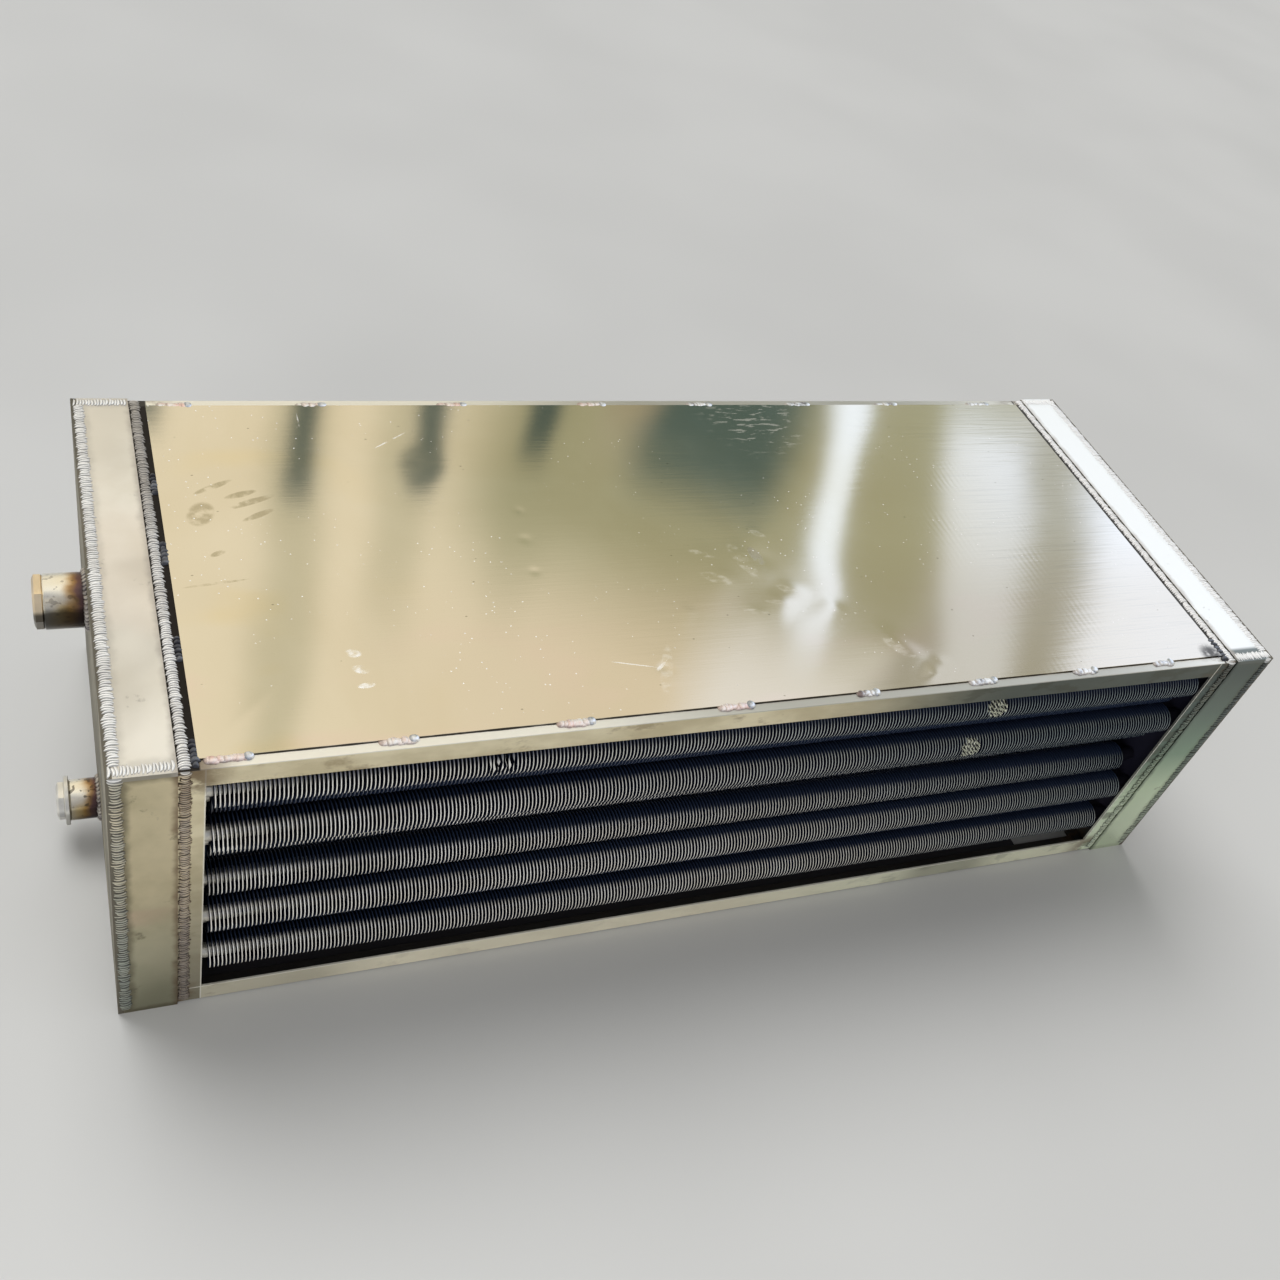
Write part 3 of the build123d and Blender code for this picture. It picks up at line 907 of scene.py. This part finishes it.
class HeaterStage(bpy.types.PropertyGroup):
    floor_colour: FloatVectorProperty(
        name="Floor", description="Colour of the floor",
        default=(0.62, 0.62, 0.605), subtype="COLOR")
    key_power: FloatProperty(
        name="Key light", description="Strength of the wide key light", default=1.9)
    fill_power: FloatProperty(
        name="Fill lamp", description="Power of the fill lamp in front",
        default=20.0, unit="POWER")
    world_level: FloatProperty(
        name="World level", description="Brightness of the surroundings", default=0.42)


finish = {}  # the materials by use, filled by the first operator
UP = (0, 0, 1)

# Patches of knocked fins; cover stitches along x; tacks at the cover's left end along y
FRONT_PATCHES = ((0.295, -0.275, 0.361), (0.291, -0.275, 0.286), (-0.330, -0.277, 0.362))
BACK_PATCHES = ((-0.338, 0.277, 0.359), (0.292, 0.277, 0.353), (0.296, 0.277, 0.287))
WORN_PATCHES = FRONT_PATCHES[:2] + BACK_PATCHES[:1]
FRONT_STITCHES = ((-0.623, -0.577), (-0.459, -0.421), (-0.278, -0.236), (-0.094, -0.050),
                  (0.079, 0.110), (0.233, 0.274), (0.388, 0.425), (0.514, 0.548))
BACK_STITCHES = ((0.538, 0.580), (0.376, 0.414), (0.226, 0.266), (0.072, 0.110),
                 (-0.088, -0.048), (-0.280, -0.240), (-0.456, -0.418), (-0.616, -0.574))
COVER_TACKS = (0.126, 0.013, -0.125, -0.258)


class HEATER_OT_finishes(bpy.types.Operator):
    """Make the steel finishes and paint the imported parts."""

    bl_idname = "heater.finishes"
    bl_label = "Finishes"

    def execute(self, context):
        fins = context.scene.heater_fins
        finish.update(
            header=header_steel("header_steel", (0.48, 0.42, 0.26), (0.70, 0.61, 0.41),
                                (0.16, 0.09, 0.05), 1.0),
            # The lid is a paler copy of the header steel: painted light on the top plates
            lid=header_steel("header_lid_steel", (0.84, 0.81, 0.75), (0.95, 0.93, 0.89),
                             (0.50, 0.46, 0.42), 0.3),
            end_plate=end_plate_steel(), cover=cover_steel(), angle=angle_steel(),
            inside=inside_steel(), bead=bead_steel(), bare=bare_tube_steel(),
            core=core_steel(fins.pitch),
            large_plug=plug_steel("large_plug_steel", middle_of("large_coupling"),
                                  (0.95, 0.78, 0.54), 0.9),
            small_plug=plug_steel("small_plug_steel", middle_of("small_coupling"),
                                  (0.98, 0.96, 0.90), 0.4),
            burnt=tack_steel("burnt_tack", (0.03, 0.03, 0.04), (0.20, 0.21, 0.24), 0.35),
            stitch=tack_steel("pink_stitch", (0.93, 0.66, 0.60), (0.97, 0.94, 0.90), 0.35, 0.85),
            stitch_end=tack_steel("bright_stitch_end", (0.50, 0.54, 0.62), (0.97, 0.98, 1.0),
                                  0.2, 0.6),
            ring=tack_steel("coupling_weld", (0.20, 0.18, 0.19), (0.62, 0.58, 0.52), 0.3),
            # fin_edge and fin_face are lit and shaded copies of one steel: the faces' near-black
            # navy is painted shade
            fin_edge=fin_steel("fin_edge", (0.84, 0.80, 0.72), (1.0, 0.98, 0.92),
                               (0.22, 0.27, 0.28), (0.03, 0.045, 0.085), 0.26, 0.12, 0.6),
            fin_face=fin_steel("fin_face", (0.003, 0.005, 0.014), (0.008, 0.010, 0.024),
                               (0.004, 0.006, 0.018), (0.020, 0.032, 0.07), 0.6, 0.0, 0.05),
        )
        rules = (("tube_sheet", "inside"), ("cover", "cover"), ("angle", "angle"),
                 ("header_end_plate", "end_plate"), ("header_top_plate", "lid"),
                 ("post", "angle"), ("core", "core"), ("third", "core"), ("second", "core"),
                 ("large_hex_plug", "large_plug"), ("small_hex_plug", "small_plug"),
                 ("beads", "bead"))
        for name, node in nodes.items():
            kind = next((use for word, use in rules if word in name), "header")
            node.data.materials.clear()
            node.data.materials.append(finish[kind])
        return {"FINISHED"}


class HEATER_OT_fins(bpy.types.Operator):
    """Wind the fins on the outer and second columns of tubes."""

    bl_idname = "heater.fins"
    bl_label = "Fins"

    def execute(self, context):
        fins = context.scene.heater_fins
        group = fin_group()
        zone = fin_zone()
        third_sides = 10
        columns = (("outer", (-4, -2, 2, 4), fins.outer_sides),
                   ("second", (-3, -1, 1, 3), fins.second_sides),
                   ("third", (-4, -2, 2, 4), third_sides))
        seed = 3
        for side in ("front", "back"):
            for column, steps, sides in columns:
                node = side + "_" + column + "_tubes"
                places, radius = tube_places(node, steps)
                mesh = grow(group, point_mesh(places), {
                    "Fin Zone": zone, "Pitch": fins.pitch, "Fin Radius": radius,
                    "Fin Thickness": fins.thickness, "Tube Radius": fins.tube_radius,
                    "Tube Length": 2 * plate_end, "Sides": sides, "Lean": fins.lean,
                    "Seed": seed, "Edge Steel": finish["fin_edge"],
                    "Face Steel": finish["fin_face"], "Tube Steel": finish["bare"]})
                seed += 1
                if column == "outer":
                    crush_fins(mesh, FRONT_PATCHES if side == "front" else BACK_PATCHES)
                add_piece(side + "_" + column + "_fins", mesh, [node])
        return {"FINISHED"}


def fin_zone():
    """Length of the finned part of a tube, from the ends of its thick middle."""
    points = vertices_of(nodes["front_outer_tubes"].data)
    middle = (points[:, 1].min() + points[:, 1].max()) / 2
    past_bare = 0.015  # further from the axis than the bare tube reaches
    thick = points[np.abs(points[:, 1] - middle) > past_bare]
    return float(thick[:, 0].max() - thick[:, 0].min())


def crush_fins(mesh, patches):
    """Bends the fins over where something has knocked them."""
    points = vertices_of(mesh)
    dice = np.random.default_rng(11)
    bend, knock = 0.0013, 0.0012  # most along the tube, and most inwards
    for patch in patches:
        away = np.linalg.norm(points - np.array(patch), axis=1)
        share = np.clip(1.0 - away / patch_reach, 0, 1)
        share = np.minimum(1.0, share * 2.2)
        points[:, 0] += share * dice.uniform(-bend, bend, len(points))
        points[:, 1] -= np.sign(patch[1]) * share * dice.uniform(0.0, knock, len(points))
    mesh.vertices.foreach_set("co", points.ravel())
    mesh.update()


class HEATER_OT_beads(bpy.types.Operator):
    """Lay the rippled beads of both header boxes."""

    bl_idname = "heater.beads"
    bl_label = "Header beads"

    def execute(self, context):
        welds = context.scene.heater_welds
        group = ripple_group()
        edge_gap = 0.0005  # between a corner bead and the edge of its plate
        setback = edge_gap + welds.corner_width / 2
        corner = half_length - setback
        edge = half_depth - setback
        inner = plate_end - 0.0065  # middle of the bead beside the post
        lying = edge - welds.corner_width / 2
        lid_rise, frame_rise, face_rise = 0.0019, 0.0029, 0.0016
        pitch = welds.flat_pitch
        for side, sign, seed in (("left", -1, 20), ("right", 1, 22)):
            uprights = ((corner, half_depth, height, welds.corner_width, face_rise,
                         welds.corner_pitch),
                        (inner, frame_face, frame_top, welds.inner_width, frame_rise,
                         welds.frame_pitch))
            runs = [straight((sign * x, front * y, top - 0.002), (sign * x, front * y, 0.009),
                             (0, front, 0), *sizes)
                    for front in (-1, 1) for x, y, top, *sizes in uprights]
            lay_ripples(side + "_face_ripples", group, runs, "bead", seed,
                        [side + "_header_face_beads"], Unevenness=0.35)
            frame_end = frame_face - 0.003
            runs = [straight((sign * corner, -lying, height), (sign * corner, lying, height),
                             UP, welds.corner_width, lid_rise, pitch),
                    straight((sign * inner, -frame_end, frame_top),
                             (sign * inner, frame_end, frame_top),
                             UP, welds.inner_width, frame_rise, pitch)]
            for front in (-1, 1):
                runs.append(straight((sign * (half_length - 0.004), front * edge, height),
                                     (sign * (plate_end + 0.004), front * edge, height),
                                     UP, welds.corner_width, lid_rise, pitch))
            lay_ripples(side + "_top_ripples", group, runs, "bead", seed + 1,
                        [side + "_header_top_beads"], Unevenness=0.3)
        return {"FINISHED"}


class HEATER_OT_stitches(bpy.types.Operator):
    """Stitch the cover sheet to the angles and tack its ends."""

    bl_idname = "heater.stitches"
    bl_label = "Cover stitches"

    def execute(self, context):
        welds = context.scene.heater_welds
        group = ripple_group()
        z = frame_top + 0.0005
        for side, sign, stitches in (("front", -1, FRONT_STITCHES), ("back", 1, BACK_STITCHES)):
            y = sign * (cover_edge + seam_gap / 2)
            smears = [straight((start + 0.004, y, z), (end - 0.008, y, z), UP,
                               welds.stitch_width, 0.0024, 0.0034) for start, end in stitches]
            ends = [straight((end - 0.007, y, z), (end - 0.0055, y, z), UP,
                             welds.stitch_width, 0.0034, 0.005) for start, end in stitches]
            lay_ripples(side + "_cover_stitches", group, smears, "stitch", 50,
                        Overlap=2.2, Curl=0.2, Lean=0.05, Unevenness=0.35)
            lay_ripples(side + "_stitch_ends", group, ends, "stitch_end", 52,
                        Overlap=1.3, Curl=0.0, Lean=0.1, Unevenness=0.2)
        x = -(plate_end + cover_high.x) / 2 + 0.0065
        runs = [straight((x, y - 0.014, frame_top), (x, y + 0.014, frame_top), UP,
                         0.011, 0.0036, 0.0055) for y in COVER_TACKS]
        x = plate_end - 0.016
        runs.append(straight((x, -0.271, frame_top), (x, -0.240, frame_top), UP,
                             0.018, 0.0038, 0.0055))
        lay_ripples("cover_tacks", group, runs, "burnt", 51, Overlap=0.8, Unevenness=0.45)
        return {"FINISHED"}


class HEATER_OT_cover(bpy.types.Operator):
    """Make the top cover sheet with its waves, dents and creases."""

    bl_idname = "heater.cover"
    bl_label = "Dented cover"

    def execute(self, context):
        cover = context.scene.heater_cover
        add_piece("dented_cover", cover_mesh(cover), ["top_cover_sheet"], 50)
        return {"FINISHED"}


# Creases of the cover: from x, y to x, y, the width, and the height in dent depths
CREASES = (
    (0.016, 0.004, 0.046, -0.100, 0.013, 0.45), (0.050, -0.078, 0.094, -0.120, 0.010, 0.40),
    (0.024, -0.098, 0.068, -0.136, 0.010, 0.35), (-0.014, -0.120, 0.032, -0.144, 0.008, 0.20),
    (0.098, -0.112, 0.128, -0.154, 0.009, 0.30), (-0.092, -0.114, -0.064, -0.132, 0.006, 0.12),
    (-0.034, -0.048, 0.018, -0.100, 0.014, 0.28), (-0.050, -0.010, 0.0, -0.050, 0.014, 0.20),
    (0.138, -0.150, 0.200, -0.256, 0.014, 1.00), (0.178, -0.234, 0.212, -0.266, 0.009, 0.55),
    (0.198, -0.218, 0.226, -0.258, 0.008, 0.45), (-0.150, -0.212, -0.129, -0.194, 0.003, -0.3),
    (-0.118, -0.165, -0.155, -0.255, 0.015, 0.2), (0.044, 0.018, 0.084, -0.016, 0.011, 0.15),
    (-0.624, 0.262, -0.495, 0.111, 0.006, -0.12),
)
# Dimples of the cover: x, y, radius, and height in dent depths
DIMPLES = (
    (0.070, -0.100, 0.055, -1.3), (0.054, -0.040, 0.016, -0.35), (-0.229, 0.060, 0.006, -0.3),
    (-0.236, 0.010, 0.007, -0.3), (-0.240, -0.045, 0.006, -0.25), (-0.330, 0.150, 0.030, -0.5),
)


def crease(x, y, start_x, start_y, end_x, end_y, width):
    """A ridge along a line, 1 on it, steeper to its left, fading at its ends."""
    start = np.array((start_x, start_y))
    line = np.array((end_x, end_y)) - start
    length = np.hypot(*line)
    unit = line / length
    along = (x - start[0]) * unit[0] + (y - start[1]) * unit[1]
    across = -(x - start[0]) * unit[1] + (y - start[1]) * unit[0]
    middle = np.clip((along / length - 0.5) / 0.9, -0.5, 0.5)
    steep = np.where(across > 0, 1.3 * width, 4.0 * width)
    return np.cos(middle * np.pi) ** 2 * np.exp(-(across / steep) ** 2)


def stations(low, high, fine_low, fine_high, coarse, fine):
    """Grid places from low to high, closer together between two of them."""
    parts = [(low, fine_low, coarse), (fine_low, fine_high, fine), (fine_high, high, coarse)]
    steps = [np.linspace(a, b, round((b - a) / step), endpoint=False) for a, b, step in parts]
    return np.append(np.concatenate(steps), high)


def cover_mesh(cover):
    """The sheet as a closed plate, its grid finer where the creases are."""
    x, y = np.meshgrid(
        stations(cover_low.x, cover_high.x, -0.25, 0.25, cover.grid, cover.dent_grid),
        stations(-cover_edge, cover_edge, -0.262, 0.07, cover.grid * 0.9, cover.dent_grid),
        indexing="ij")
    columns, rows = x.shape
    waves = (np.sin(7.3 * x + 2.1 * y + 0.6) + 0.7 * np.sin(11.9 * x - 5.0 * y + 2.0)
             + 0.5 * np.sin(4.1 * x + 13.0 * y))
    edge = np.minimum(cover_high.x - np.abs(x), cover_edge - np.abs(y))
    held_width = 0.12  # the sheet's waves grow to their full height over this width
    free = np.sin(np.clip(edge / held_width, 0, 1) * np.pi / 2) ** 2
    lift = -cover.wave_depth * waves * free
    firm_width = 0.012  # and its dents over this one
    firm = np.clip(edge / firm_width, 0, 1)
    for *line, share in CREASES:
        lift += cover.dent_depth * share * crease(x, y, *line) * firm
    for middle_x, middle_y, radius, share in DIMPLES:
        away = ((x - middle_x) ** 2 + (y - middle_y) ** 2) / radius ** 2
        lift += cover.dent_depth * share * np.exp(-away) * firm
    top = np.stack([x, y, cover_high.z + lift], axis=-1).reshape(-1, 3)
    index = np.arange(columns * rows).reshape(columns, rows)
    a, b = index[:-1, :-1].ravel(), index[1:, :-1].ravel()
    c, d = index[1:, 1:].ravel(), index[:-1, 1:].ravel()
    faces = np.stack([a, b, c, d], 1).tolist()
    rim = np.concatenate([index[:-1, 0], index[-1, :-1], index[:0:-1, -1], index[0, :0:-1]])
    lower = np.arange(len(rim)) + columns * rows
    faces += np.stack([rim, lower, np.roll(lower, -1), np.roll(rim, -1)], 1).tolist()
    faces.append(lower[::-1].tolist())
    bottom = top[rim]
    bottom[:, 2] = cover_low.z
    mesh = bpy.data.meshes.new("cover")
    mesh.from_pydata(np.concatenate([top, bottom]).tolist(), [], faces)
    mesh.materials.append(finish["cover"])
    return mesh


def skin(made, centre, profile, sides, hollow=False):
    """A closed solid about the X axis through a centre; profile is (x, radius)."""
    turns = [2 * math.pi * k / sides for k in range(sides)]
    rings = [[made.verts.new((x, centre.y + radius * math.cos(turn),
                              centre.z + radius * math.sin(turn))) for turn in turns]
             for x, radius in profile]
    for one, two in zip(rings, rings[1:] + rings[:1] if hollow else rings[1:]):
        for k in range(sides):
            j = (k + 1) % sides
            made.faces.new((one[k], one[j], two[j], two[k]))
    if not hollow:
        made.faces.new(rings[0])
        made.faces.new(rings[-1])


def add_turned(name, made, steel, replaced, smooth_angle):
    """A piece from its skins, with their faces turned outwards."""
    bmesh.ops.recalc_face_normals(made, faces=made.faces)
    mesh = mesh_of(name, made)
    mesh.materials.append(steel)
    add_piece(name, mesh, [replaced], smooth_angle)


def add_plug(name):
    """A hex plug with chamfered corners; the small one has a collar round its coupling."""
    low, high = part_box(name + "_hex_plug")
    coupling_low, coupling_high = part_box(name + "_coupling")
    centre = (coupling_low + coupling_high) / 2
    face = coupling_low.x
    reach = (high.y - low.y) / 2
    bore = (coupling_high.y - coupling_low.y) / 2 * 0.74
    made = bmesh.new()
    skin(made, centre, [(low.x, reach * 0.80), (low.x + 0.0004, reach * 0.86),
                        (low.x + 0.0022, reach), (face - 0.0012, reach),
                        (face + 0.0002, reach * 0.94)], 6)
    skin(made, centre, [(face - 0.0001, bore), (high.x, bore)], 40)
    if name == "small":
        skin(made, centre, [(face - 0.0004, 0.0276), (face + 0.0002, 0.0290),
                            (face + 0.0040, 0.0290), (face + 0.0046, 0.0282)], 56)
    add_turned(name + "_plug_turned", made, finish[name + "_plug"],
               name + "_hex_plug", 20)


class HEATER_OT_couplings(bpy.types.Operator):
    """Turn the couplings, with chamfered rims and their weld rings."""

    bl_idname = "heater.couplings"
    bl_label = "Couplings"

    def execute(self, context):
        group = ripple_group()
        # burnt sets the painted shade below each coupling, and tones down its scorch marks
        for name, seed, burnt in (("large", 71, 0.93), ("small", 72, 0.6)):
            add_plug(name)
            low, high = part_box(name + "_coupling")
            centre = (low + high) / 2
            radius = (high.y - low.y) / 2
            bore = radius * 0.75
            foot, tip = high.x, low.x
            made = bmesh.new()
            skin(made, centre, [(foot, radius), (tip + 0.0016, radius),
                                (tip + 0.0006, radius - 0.0005), (tip, radius - 0.0014),
                                (tip, bore), (foot, bore)], 64, hollow=True)
            steel = coupling_steel(name + "_coupling_steel", foot, foot - tip, centre, burnt)
            add_turned(name + "_coupling_turned", made, steel, name + "_coupling", 30)
            points, ups = [], []
            for turn in np.linspace(0.0, 2 * math.pi, 41):
                out = Vector((0, math.cos(turn), math.sin(turn)))
                points.append(Vector((foot - 0.001, centre.y, centre.z)) + out * (radius + 0.001))
                ups.append((out + Vector((-1, 0, 0))).normalized())
            lay_ripples(name + "_coupling_weld", group, [(points, ups, 0.009, 0.0034, 0.0046)],
                        "ring", seed, Overlap=0.8, Unevenness=0.25)
        return {"FINISHED"}


class HEATER_OT_stage(bpy.types.Operator):
    """Set the floor, surroundings, lamps and camera."""

    bl_idname = "heater.stage"
    bl_label = "Stage"

    def execute(self, context):
        stage = context.scene.heater_stage
        make_floor(stage)
        make_world(stage)
        key = hang_lamp("key", "SUN", stage.key_power, (0.25, -0.75, -1.45))
        key.angle = math.radians(38)  # very wide, so that shadows stay soft
        fill = hang_lamp("front_fill", "AREA", stage.fill_power, (1.5, 2.0, -1.0),
                         (-1.9, -2.2, 1.2))
        fill.shape = "RECTANGLE"
        fill.size, fill.size_y = 1.2, 0.9
        make_camera()
        context.scene.view_settings.view_transform = "Standard"
        return {"FINISHED"}


def make_floor(stage):
    """A wide matt floor with faint clouds."""
    made = bmesh.new()
    bmesh.ops.create_circle(made, cap_ends=True, segments=64, radius=30.0)
    mesh = mesh_of("floor", made)
    paint = Paint("floor_paint")
    speck = paint.noise(40.0)
    cloud = paint.noise(1.2, detail=2.0)
    colour = tuple(stage.floor_colour)
    paint.colour = paint.blend(cloud.rise(0.3, 0.7), scaled(colour, 0.94), colour)
    mesh.materials.append(paint.finish(0.85 + speck * 0.1, 0.0, Specular_IOR_Level=0.05))
    floor = new_object("floor", mesh)


def make_world(stage):
    """Even light for matt surfaces, and soft panels and gaps for what the steel mirrors."""
    world = bpy.data.worlds.new("studio")
    bpy.context.scene.world = world
    world.use_nodes = True
    world.node_tree.nodes.clear()
    tree = Tree(world.node_tree)
    x, y, z = tree.split(tree.add("ShaderNodeTexCoord", out="Generated"))
    degree = 180 / math.pi
    turn = y.math("ARCTAN2", x) * degree
    level = z.math("ARCSINE") * degree
    over = level.rise

    def panel(middle, half, soft, place=None):
        """1 within half a width of the middle, in degrees, and soft beside that."""
        away = abs((turn if place is None else place) - middle)
        return away.rise(half + soft, half)

    warm = (0.90, 0.83, 0.68)
    olive = (0.42, 0.42, 0.29)
    shade = (0.10, 0.15, 0.145)
    post = (0.07, 0.11, 0.11)
    grey = (0.44, 0.44, 0.37)
    day = (1.08, 1.17, 1.34)
    way = tree.vector("NORMALIZE", tree.join_xyz(x, y, z))
    drift = tree.add("ShaderNodeTexNoise", None, {"Vector": way, "Scale": 9.0, "Detail": 2.0})
    turn = turn + (drift - 0.5) * 2.6
    tree.colour = tree.blend(over(0.0, 32.0), (0.62, 0.60, 0.52), warm)
    tree.coat(panel(56.0, 10.5, 6.0) * over(45.0, 37.5), olive)
    tree.coat(panel(57.2, 2.3, 2.6) * over(37.2, 34.6), shade)
    tree.coat(panel(61.8, 0.8, 1.4) * over(36.5, 33.5) * 0.35, (0.40, 0.32, 0.27))
    for middle, top, depth in ((65.8, 46.0, 0.45), (72.8, 48.0, 0.5), (78.4, 56.0, 0.55)):
        tree.coat(panel(middle, 0.5, 1.9) * over(top, top - 7.0) * depth, olive)
    for middle, top in ((66.4, 37.0), (71.7, 39.4), (78.2, 40.6), (85.6, 38.0)):
        tree.coat(panel(middle, 0.45, 0.6) * over(top, top - 1.6), post)
    tree.coat(panel(22.0, 20.8, 3.0), grey)
    slanted = turn + (level - 30.0) * 0.27
    strip = slanted.rise(50.5, 50.9) * slanted.rise(53.3, 52.0) * over(42.5, 38.5)
    tree.coat(strip, (1.10, 1.24, 1.50))
    tree.coat(panel(48.7, 3.0, 4.0) * over(37.0, 43.0) * 0.6, day)
    slanted = turn + (level - 28.0) * 0.5
    nearer = 1 - level.rise(30.0, 36.0) * 0.3
    stripe = panel(45.4, 1.3, 1.3, slanted) * over(27.6, 29.2) * nearer * 0.75
    tree.coat(stripe, day)
    tree.coat(panel(20.0, 19.3, 2.5, slanted), day)
    tree.coat(panel(-105.0, 55.0, 30.0) * 0.9, (0.30, 0.31, 0.35))
    tree.coat(panel(-75.0, 5.0, 8.0) * over(60.0, 45.0) * 0.7, day)
    tree.coat(panel(-128.0, 3.0, 5.0) * over(60.0, 45.0) * 0.6, warm)
    tree.coat(over(52.0, 75.0) * 0.7, (1.0, 1.0, 0.96))
    rays = tree.add("ShaderNodeLightPath").output.node.outputs
    even = tree.add("ShaderNodeBackground", None,
                    {"Color": (1.0, 1.0, 1.0), "Strength": stage.world_level})
    mirrored = tree.add("ShaderNodeBackground", None, {"Color": tree.colour, "Strength": 1.0})
    seen = tree.add("ShaderNodeBackground", None, {"Color": (0.88, 0.88, 0.87), "Strength": 1.0})
    both = tree.add("ShaderNodeMixShader", None,
                    {0: Wire(tree, rays["Is Glossy Ray"]), 1: even, 2: mirrored})
    whole = tree.add("ShaderNodeMixShader", None,
                     {0: Wire(tree, rays["Is Camera Ray"]), 1: both, 2: seen})
    tree.add("ShaderNodeOutputWorld", None, {"Surface": whole}, None)


def hang_lamp(name, kind, power, aim, place=(0.0, 0.0, 0.0)):
    """A lamp for the matt surfaces, which the bright ones don't mirror."""
    lamp = bpy.data.lights.new(name, kind)
    lamp.energy = power
    item = new_object(name, lamp)
    item.location = place
    item.rotation_euler = Vector(aim).to_track_quat("-Z", "Y").to_euler()
    item.visible_glossy = False
    return lamp


def make_camera():
    """The camera that the first picture was taken with, from its direction and roll."""
    camera = bpy.data.cameras.new("camera")
    camera.sensor_width = 36.0
    camera.lens = 37.35
    camera.clip_end = 100.0
    camera_object = new_object("camera", camera)
    turn, tilt, roll = (math.radians(a) for a in (-32.35, 42.68, 18.84))
    forward = Vector((-math.sin(turn) * math.cos(tilt), math.cos(turn) * math.cos(tilt),
                      -math.sin(tilt)))
    level_right = forward.cross(Vector((0, 0, 1))).normalized()
    level_up = level_right.cross(forward)
    right = math.cos(roll) * level_right + math.sin(roll) * level_up
    up = math.cos(roll) * level_up - math.sin(roll) * level_right
    axes = Matrix((right, up, -forward)).transposed().to_4x4()
    camera_object.matrix_world = Matrix.Translation((-0.7273, -1.0721, 1.4034)) @ axes
    bpy.context.scene.camera = camera_object


class HEATER_PT_sidebar(bpy.types.Panel):
    """The heater's settings and the buttons that make its pieces."""

    bl_label = "Finned tube air heater"
    bl_space_type = "VIEW_3D"
    bl_region_type = "UI"
    bl_category = "Heater"

    def draw(self, context):
        for group_name, group in SETTINGS.items():
            box = self.layout.box()
            box.label(text=group_name.replace("_", " "))
            for prop in group.__annotations__:
                box.prop(getattr(context.scene, group_name), prop)
        for operator in OPERATORS:
            self.layout.operator(operator.bl_idname)


SETTINGS = {
    "heater_fins": HeaterFins,
    "heater_welds": HeaterWelds,
    "heater_cover": HeaterCover,
    "heater_stage": HeaterStage,
}
OPERATORS = (
    HEATER_OT_finishes, HEATER_OT_fins, HEATER_OT_beads, HEATER_OT_stitches,
    HEATER_OT_cover, HEATER_OT_couplings, HEATER_OT_stage,
)


def register():
    for group_name, group in SETTINGS.items():
        bpy.utils.register_class(group)
        setattr(bpy.types.Scene, group_name, PointerProperty(type=group))
    for operator in OPERATORS:
        bpy.utils.register_class(operator)
    bpy.utils.register_class(HEATER_PT_sidebar)


def unregister():
    bpy.utils.unregister_class(HEATER_PT_sidebar)
    for operator in reversed(OPERATORS):
        bpy.utils.unregister_class(operator)
    for group_name, group in SETTINGS.items():
        delattr(bpy.types.Scene, group_name)
        bpy.utils.unregister_class(group)


def main():
    register()
    bpy.ops.heater.finishes()
    bpy.ops.heater.fins()
    bpy.ops.heater.beads()
    bpy.ops.heater.stitches()
    bpy.ops.heater.cover()
    bpy.ops.heater.couplings()
    bpy.ops.heater.stage()


if __name__ == "__main__":
    main()
